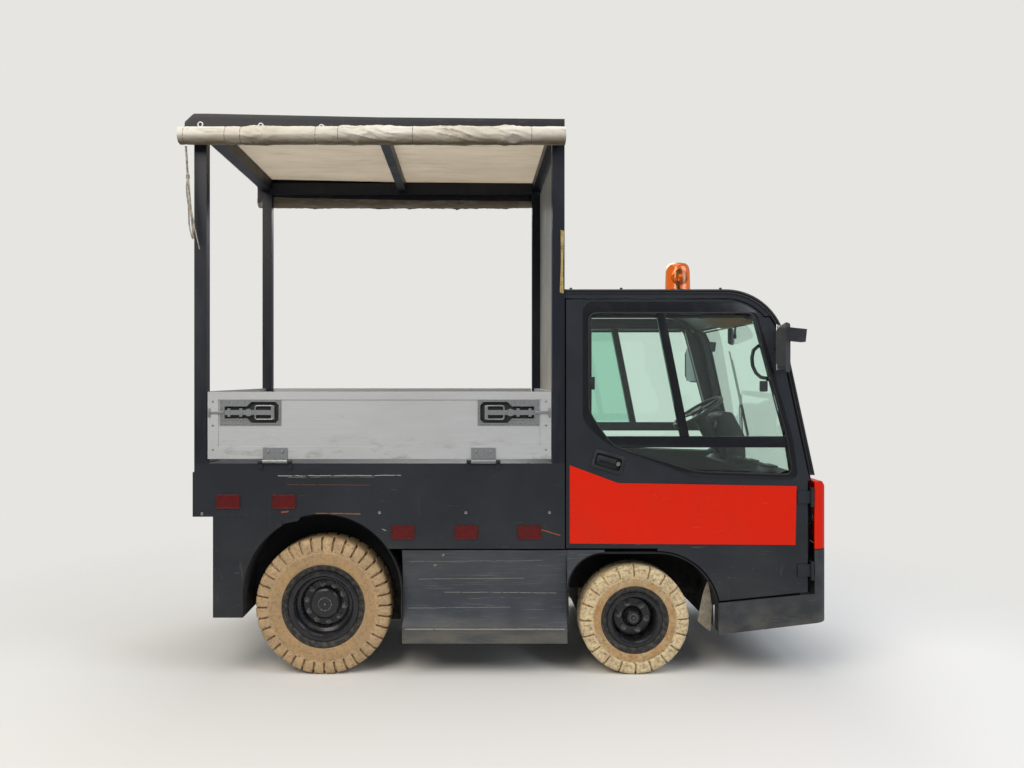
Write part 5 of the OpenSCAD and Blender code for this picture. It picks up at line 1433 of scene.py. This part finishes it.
class TRUCK_OT_arch_flaps(bpy.types.Operator):
    """Makes the arches' flaps and corner trims, splash guards that also paint the shade by the rear wheels,
    sill seals, dark panels that paint the shade under the cab, and the post strip
    """
    bl_idname = "truck.arch_flaps"
    bl_label = "Arch flaps, guards, shade sheets and post strip"

    def execute(self, context):
        outline = rounded_outline(metres(ARCH_FLAP), 0.010, 4)
        both_sides(plate("arch_flap_right", [outline], 0.598, 0.004, 0.0012), "flap")
        for name, points, y, thick, key, slot in SIDE_SHEETS:
            outline = rounded_outline(metres(points), 0.008, 3)
            both_sides(plate(name + "_right", [outline], y, thick, thick * 0.2), key)
        # cross panels in the black well finish that close the view under the cab and paint the shade there
        shade_panels = [box("under_cab_shade_panels", (1.030, -0.570, 0.230), (1.034, 0.570, 0.470), 0.001),
                 box("tray", (0.394, -0.290, 0.215), (0.398, 0.290, 0.450), 0.001)]
        finish_piece(join("under_cab_shade_panels", shade_panels), "truck", "well")
        strip = plate("post_strip", [rounded_outline(metres(POST_STRIP), 0.004, 3)], SKIRT_Y, 0.0025, 0.0008)
        finish_piece(strip, "truck", "foam")
        return {"FINISHED"}


# Lamps

def hollow(name, outer, wall, centre, steps, turn):
    """A turned shell from an outer line of (radius, distance) points and one that lies a wall further in."""
    points = [Vector(p) for p in outer]
    inner = []
    for i, point in enumerate(points):
        along = points[min(i + 1, len(points) - 1)] - points[max(i - 1, 0)]
        inner.append(point + Vector((-along.y, along.x)).normalized() * wall)
    inner = [(max(0.0, p.x), p.y) for p in inner]
    return lathe(name, [tuple(p) for p in points] + inner[::-1], centre, steps, True, turn)


UPRIGHT = (math.radians(90), 0, 0)
FORWARD = (0, 0, math.radians(-90))
HEADLAMP_X, HEADLAMP_Y, HEADLAMP_Z = 1.572, 0.430, 0.770
# columns: radius, distance along the lamp's axis, in metres
DOME = ((0.0715, 0.0), (0.0715, 0.011), (0.0690, 0.015), (0.0685, 0.060), (0.0665, 0.128), (0.0630, 0.150),
        (0.0560, 0.165), (0.0440, 0.174), (0.0240, 0.1785), (0.0, 0.1795))
DISH = ((0.006, 0.030), (0.024, 0.024), (0.038, 0.008), (0.044, -0.012), (0.047, -0.030))
LENS = ((0.0665, -0.0110), (0.0640, -0.0065), (0.0540, -0.0036), (0.0300, -0.0014), (0.0, -0.0006))
BOWL = ((0.0660, -0.0135), (0.0600, -0.030), (0.0480, -0.050), (0.0300, -0.064), (0.0100, -0.070))
HOUSING = ((0.0700, -0.0140), (0.0640, -0.034), (0.0515, -0.055), (0.0330, -0.070), (0.0100, -0.077))
TRIM_RING = ((0.0662, -0.0125), (0.0718, -0.0125), (0.0718, 0.0), (0.0698, 0.0006), (0.0662, -0.004))


class TRUCK_OT_beacon(bpy.types.Operator):
    """Makes the amber beacon: hollow ribbed dome, turning reflector, bulb and motor foot"""
    bl_idname = "truck.beacon"
    bl_label = "Beacon"

    def execute(self, context):
        low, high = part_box("beacon_dome")
        x = (low[0] + high[0]) / 2
        foot = Vector((x, 0.0, low[2]))

        def above(z, x=0.0, y=0.0):
            return foot + Vector((x, y, z))

        dome = hollow("beacon_cover", DOME, 0.003, foot, 64, UPRIGHT)
        finish_piece(dome, "truck", "amber", 50)
        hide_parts("beacon_dome")
        dish = hollow("beacon_reflector", DISH, 0.0012, above(0.098), 40, (0, 0, math.radians(18)))
        finish_piece(dish, "truck", "mirror", 60)
        bulb = rod("bulb", above(0.074), above(0.108), 0.008, 20, 0.003, 0.005)
        finish_piece(bulb, "truck", "lens", 60)
        parts = [rod("motor", above(0.001), above(0.030), 0.040, 32, 0.004),
                 rod("spindle", above(0.028), above(0.074), 0.014, 20, 0.002),
                 rod("stay", above(0.028, 0, 0.030), above(0.098, 0.008, 0.030), 0.005, 12)]
        finish_piece(join("beacon_motor", parts), "truck", "plastic")
        return {"FINISHED"}


class TRUCK_OT_headlamps(bpy.types.Operator):
    """Makes the round headlamps: domed lens, bowl reflector, bulb and trim ring"""
    bl_idname = "truck.headlamps"
    bl_label = "Headlamps"

    def execute(self, context):
        for side, sign in SIDES.items():
            face = Vector((HEADLAMP_X, sign * HEADLAMP_Y, HEADLAMP_Z))
            lens = hollow("headlamp_lens_" + side, LENS, 0.003, face, 56, FORWARD)
            finish_piece(lens, "truck", "lens", 50)
            if sign < 0:
                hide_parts("headlamps")
            bowl = hollow("headlamp_bowl_" + side, BOWL, 0.0012, face, 56, FORWARD)
            finish_piece(bowl, "truck", "mirror", 60)
            shell = hollow("headlamp_housing_" + side, HOUSING, 0.0015, face, 40, FORWARD)
            finish_piece(shell, "truck", "plastic", 60)
            bulb = rod("headlamp_bulb_" + side, face - Vector((0.068, 0, 0)), face - Vector((0.028, 0, 0)),
                       0.009, 20, 0.003, 0.007)
            ring = lathe("ring", TRIM_RING, face, 56, True, FORWARD)
            finish_piece(join("headlamp_ring_" + side, [ring, bulb]), "truck", "steel", 40)
        return {"FINISHED"}


# Seals and trim of the cab

# Heights of the windscreen's foot and head
SCREEN_FOOT, SCREEN_HEAD = 0.966, 1.752
# columns: place across the truck, height, in metres
REAR_WINDOW = ((-0.430, 1.110), (0.430, 1.110), (0.430, 1.790), (-0.430, 1.790))
# columns: place along the truck, height, in metres
GREEN_PANE = ((0.418, 1.168), (0.893, 1.168), (0.745, 1.756), (0.418, 1.756))


def front_edge(z, inset):
    """Place along the truck of the cab's front line at a height, inside it by an inset."""
    if z < SCREEN_TOP_Z:
        return screen_x(z, inset / math.cos(SCREEN_LEAN))
    return ROOF_CENTRE.x + math.sqrt((ROOF_RADIUS - inset) ** 2 - (z - ROOF_CENTRE.z) ** 2)


class TRUCK_OT_cab_seals(bpy.types.Operator):
    """Makes the gutter rubber with its studs, the windscreen's and rear window's seals and the green pane"""
    bl_idname = "truck.cab_seals"
    bl_label = "Cab seals"

    def execute(self, context):
        def edge(inset, foot):
            line = [(CAB_BACK_X + 0.008, CAB_TOP_Z - inset)]
            for k in range(19):
                a = math.radians(90) + (SCREEN_LEAN - math.radians(90)) * k / 18
                line.append((ROOF_CENTRE.x + (ROOF_RADIUS - inset) * math.cos(a),
                             ROOF_CENTRE.z + (ROOF_RADIUS - inset) * math.sin(a)))
            line.append((front_edge(foot, inset), foot))
            return [(x, -DOOR_Y - 0.0005, z) for x, z in line]

        strips = [tube("strip", edge(inset, foot), radius, False, 2)
                  for inset, foot, radius in ((0.007, 1.000, 0.0065), (0.019, 1.010, 0.0045))]
        both_sides(join("gutter_rubber_right", strips), "rubber")
        stud_at = stud("gutter_studs_right", (0.320, -0.622, CAB_TOP_Z), (0, 0, 1), 0.007, 0.010, 12)
        both_sides(repeated(stud_at, [(0.247, 0, 0), (0.734, 0, 0)]), "plastic")
        heights = [SCREEN_FOOT + (SCREEN_HEAD - SCREEN_FOOT) * k / 16 for k in range(17)]
        side_line = [(front_edge(z, 0.004), -0.534, z) for z in heights]
        loop = side_line + [(x, -y, z) for x, y, z in reversed(side_line)]
        screen = tube("windscreen_seal", loop, 0.007, True, 2)
        rear = tube("rear_window_seal", [(CAB_BACK_X + 0.002, y, z) for y, z in
                                         rounded_outline(REAR_WINDOW, 0.05, 6)], 0.007, True, 2)
        for piece in (screen, rear):
            finish_piece(piece, "truck", "rubber", 60)
        # green pane that slides behind the left door's rear window
        pane = plate("sliding_pane_glass", [GREEN_PANE], 0.6245, 0.003, 0.0)
        finish_piece(other_side(pane, "sliding_pane_glass_left"), "door_left", "tint")
        bpy.data.objects.remove(pane)
        return {"FINISHED"}


# columns: place along the truck, height, in mm
POD = ((1338, 985), (1298, 1150), (1292, 1236), (1322, 1262), (1372, 1258), (1446, 1120), (1452, 985))
GRAB_HANDLE = ((1292, 1622), (1259, 1619), (1236, 1598), (1228, 1560), (1232, 1520), (1248, 1486),
               (1272, 1464), (1316, 1456))
# columns: place across the truck, width, in metres
PEDALS = ((0.200, 0.055), (0.330, 0.070))


class TRUCK_OT_cab_inside(bpy.types.Operator):
    """Makes the instrument pod, switches, pedals, the grab handle with its feet and the sun visor"""
    bl_idname = "truck.cab_inside"
    bl_label = "Cab inside"

    def execute(self, context):
        pod = plate("pod", [rounded_outline(metres(POD), 0.016, 4)], -0.430, 0.280, 0.010)
        # the gauges face the left seat, on the pod's rear slope
        dials = [rod("dial", (1.2985, y, 1.190), (1.2905, y, 1.192), 0.034, 28, 0.002)
                 for y in (0.240, 0.335)]
        switches = [box("switch", (1.322, y, 0.982), (1.340, y + 0.024, 1.020), 0.004) for y in
                    (-0.120, -0.088, -0.056, -0.024, 0.008, 0.040)]
        vents = [box("vent", (1.345, y, 1.0), (1.400, y + 0.110, 1.012), 0.003)
                 for y in (-0.460, -0.200, 0.430)]
        stalk = rod("stalk", (1.262, 0.290, 1.180), (1.240, 0.430, 1.215), 0.006, 12, 0.002, 0.008)
        shroud = rod("shroud", (1.226, 0.290, 1.222), (1.318, 0.290, 1.078), 0.046, 28, 0.006, 0.058)
        finish_piece(join("instrument_pod", [pod, *switches, *vents, stalk, shroud]), "truck", "plastic")
        finish_piece(join("instrument_dials", dials), "truck", "mirror")
        pedals = []
        for y, width in PEDALS:
            pad = box("pad", (1.360, y - width / 2, 0.470), (1.376, y + width / 2, 0.580), 0.004)
            lever = rod("lever", (1.374, y, 0.530), (1.440, y, 0.780), 0.008, 12)
            half = width / 2 - 0.006
            rib = box("rib", (1.3565, y - half, 0.480), (1.362, y + half, 0.486), 0.001)
            pedals += [pad, lever, repeated(rib, [(0, 0, 0.018 * k) for k in range(1, 6)])]
        finish_piece(join("pedals", pedals), "truck", "rubber")
        handle = tube("handle", [(x, -0.566, z) for x, z in metres(GRAB_HANDLE)], 0.009, False, 4)
        feet = [box("foot", (1.284, -0.586, 1.610), (1.312, -0.556, 1.634), 0.004),
                box("foot", (1.300, -0.586, 1.444), (1.330, -0.556, 1.468), 0.004),
                box("block", (1.267, -0.584, 1.392), (1.302, -0.556, 1.446), 0.006)]
        finish_piece(join("grab_handle_right", [handle, *feet]), "truck", "plastic")
        visor = box("sun_visor", (-0.075, -0.420, -0.006), (0.075, 0.060, 0.006), 0.005, 3)
        tilt = Matrix.Rotation(math.radians(22), 4, "Y")
        visor.data.transform(Matrix.Translation((1.215, 0.0, 1.776)) @ tilt)
        rail = rod("rail", (1.150, -0.400, 1.806), (1.150, 0.040, 1.806), 0.005, 12)
        finish_piece(join("sun_visor", [visor, rail]), "truck", "visor")
        return {"FINISHED"}


class TRUCK_OT_rear_hitch(bpy.types.Operator):
    """Makes the tow pin's pull ring, its chain and the plate's bolts"""
    bl_idname = "truck.rear_hitch"
    bl_label = "Rear hitch"

    def execute(self, context):
        pin_x, pin_top, ring_r = -1.490, 0.512, 0.022
        ring = tube("ring", [(pin_x, ring_r * math.cos(a), pin_top + ring_r + ring_r * math.sin(a)) for a in
                             [k * math.tau / 20 for k in range(20)]], 0.0035, True, 3)
        links = []
        for k in range(9):
            t = k / 8
            y = 0.006 + 0.062 * t
            z = 0.545 - 0.050 * math.sin(math.pi * t) - 0.045 * t
            x = pin_x + 0.052 * t
            wide, high = (0.004, 0.0) if k % 2 == 0 else (0.0, 0.004)
            points = [(x + wide * math.cos(a), y + 0.009 * math.sin(a), z + high * math.cos(a))
                      for a in [j * math.tau / 10 for j in range(10)]]
            links.append(tube("link", points, 0.0015, True, 2))
        bolt = stud("bolt", (-1.440, -0.058, 0.400), (-1, 0, 0), 0.010, 0.008, 6)
        bolts = repeated(bolt, [(0, 0.116, 0), (0, 0, 0.098), (0, 0.116, 0.098)])
        finish_piece(join("hitch_fittings", [ring, *links, bolts]), "truck", "zinc")
        return {"FINISHED"}


class TRUCK_PT_sidebar(bpy.types.Panel):
    """Lists the truck's sizes, colours and pieces in the 3D view's sidebar"""
    bl_idname = "TRUCK_PT_sidebar"
    bl_label = "Electric platform truck"
    bl_space_type = "VIEW_3D"
    bl_region_type = "UI"
    bl_category = "Truck"

    def draw(self, context):
        layout = self.layout
        for group in (context.scene.truck_sizes, context.scene.truck_colours):
            rows = layout.box()
            for key in group.__annotations__:
                rows.prop(group, key)
        buttons = layout.column(align=True)
        for kind in OPERATORS:
            buttons.operator(kind.bl_idname)


# In the order in which they run
OPERATORS = (TRUCK_OT_stage, TRUCK_OT_finishes, TRUCK_OT_tie_strap, TRUCK_OT_tyres, TRUCK_OT_wheel_nuts,
             TRUCK_OT_door_windows, TRUCK_OT_door_handles, TRUCK_OT_canopy_roof, TRUCK_OT_curtain_rolls,
             TRUCK_OT_front_curtain, TRUCK_OT_seats, TRUCK_OT_mirror_glasses, TRUCK_OT_wiper,
             TRUCK_OT_board_fittings, TRUCK_OT_body_screws, TRUCK_OT_arch_flaps, TRUCK_OT_beacon,
             TRUCK_OT_headlamps, TRUCK_OT_cab_seals, TRUCK_OT_cab_inside, TRUCK_OT_rear_hitch)
CLASSES = (TruckSizes, TruckColours, *OPERATORS, TRUCK_PT_sidebar)


def register():
    for kind in CLASSES:
        bpy.utils.register_class(kind)
    bpy.types.Scene.truck_sizes = bpy.props.PointerProperty(type=TruckSizes)
    bpy.types.Scene.truck_colours = bpy.props.PointerProperty(type=TruckColours)


def unregister():
    del bpy.types.Scene.truck_colours
    del bpy.types.Scene.truck_sizes
    for kind in reversed(CLASSES):
        bpy.utils.unregister_class(kind)


def main():
    register()
    for kind in OPERATORS:
        getattr(bpy.ops.truck, kind.bl_idname.split(".")[1])()


if __name__ == "__main__":
    main()
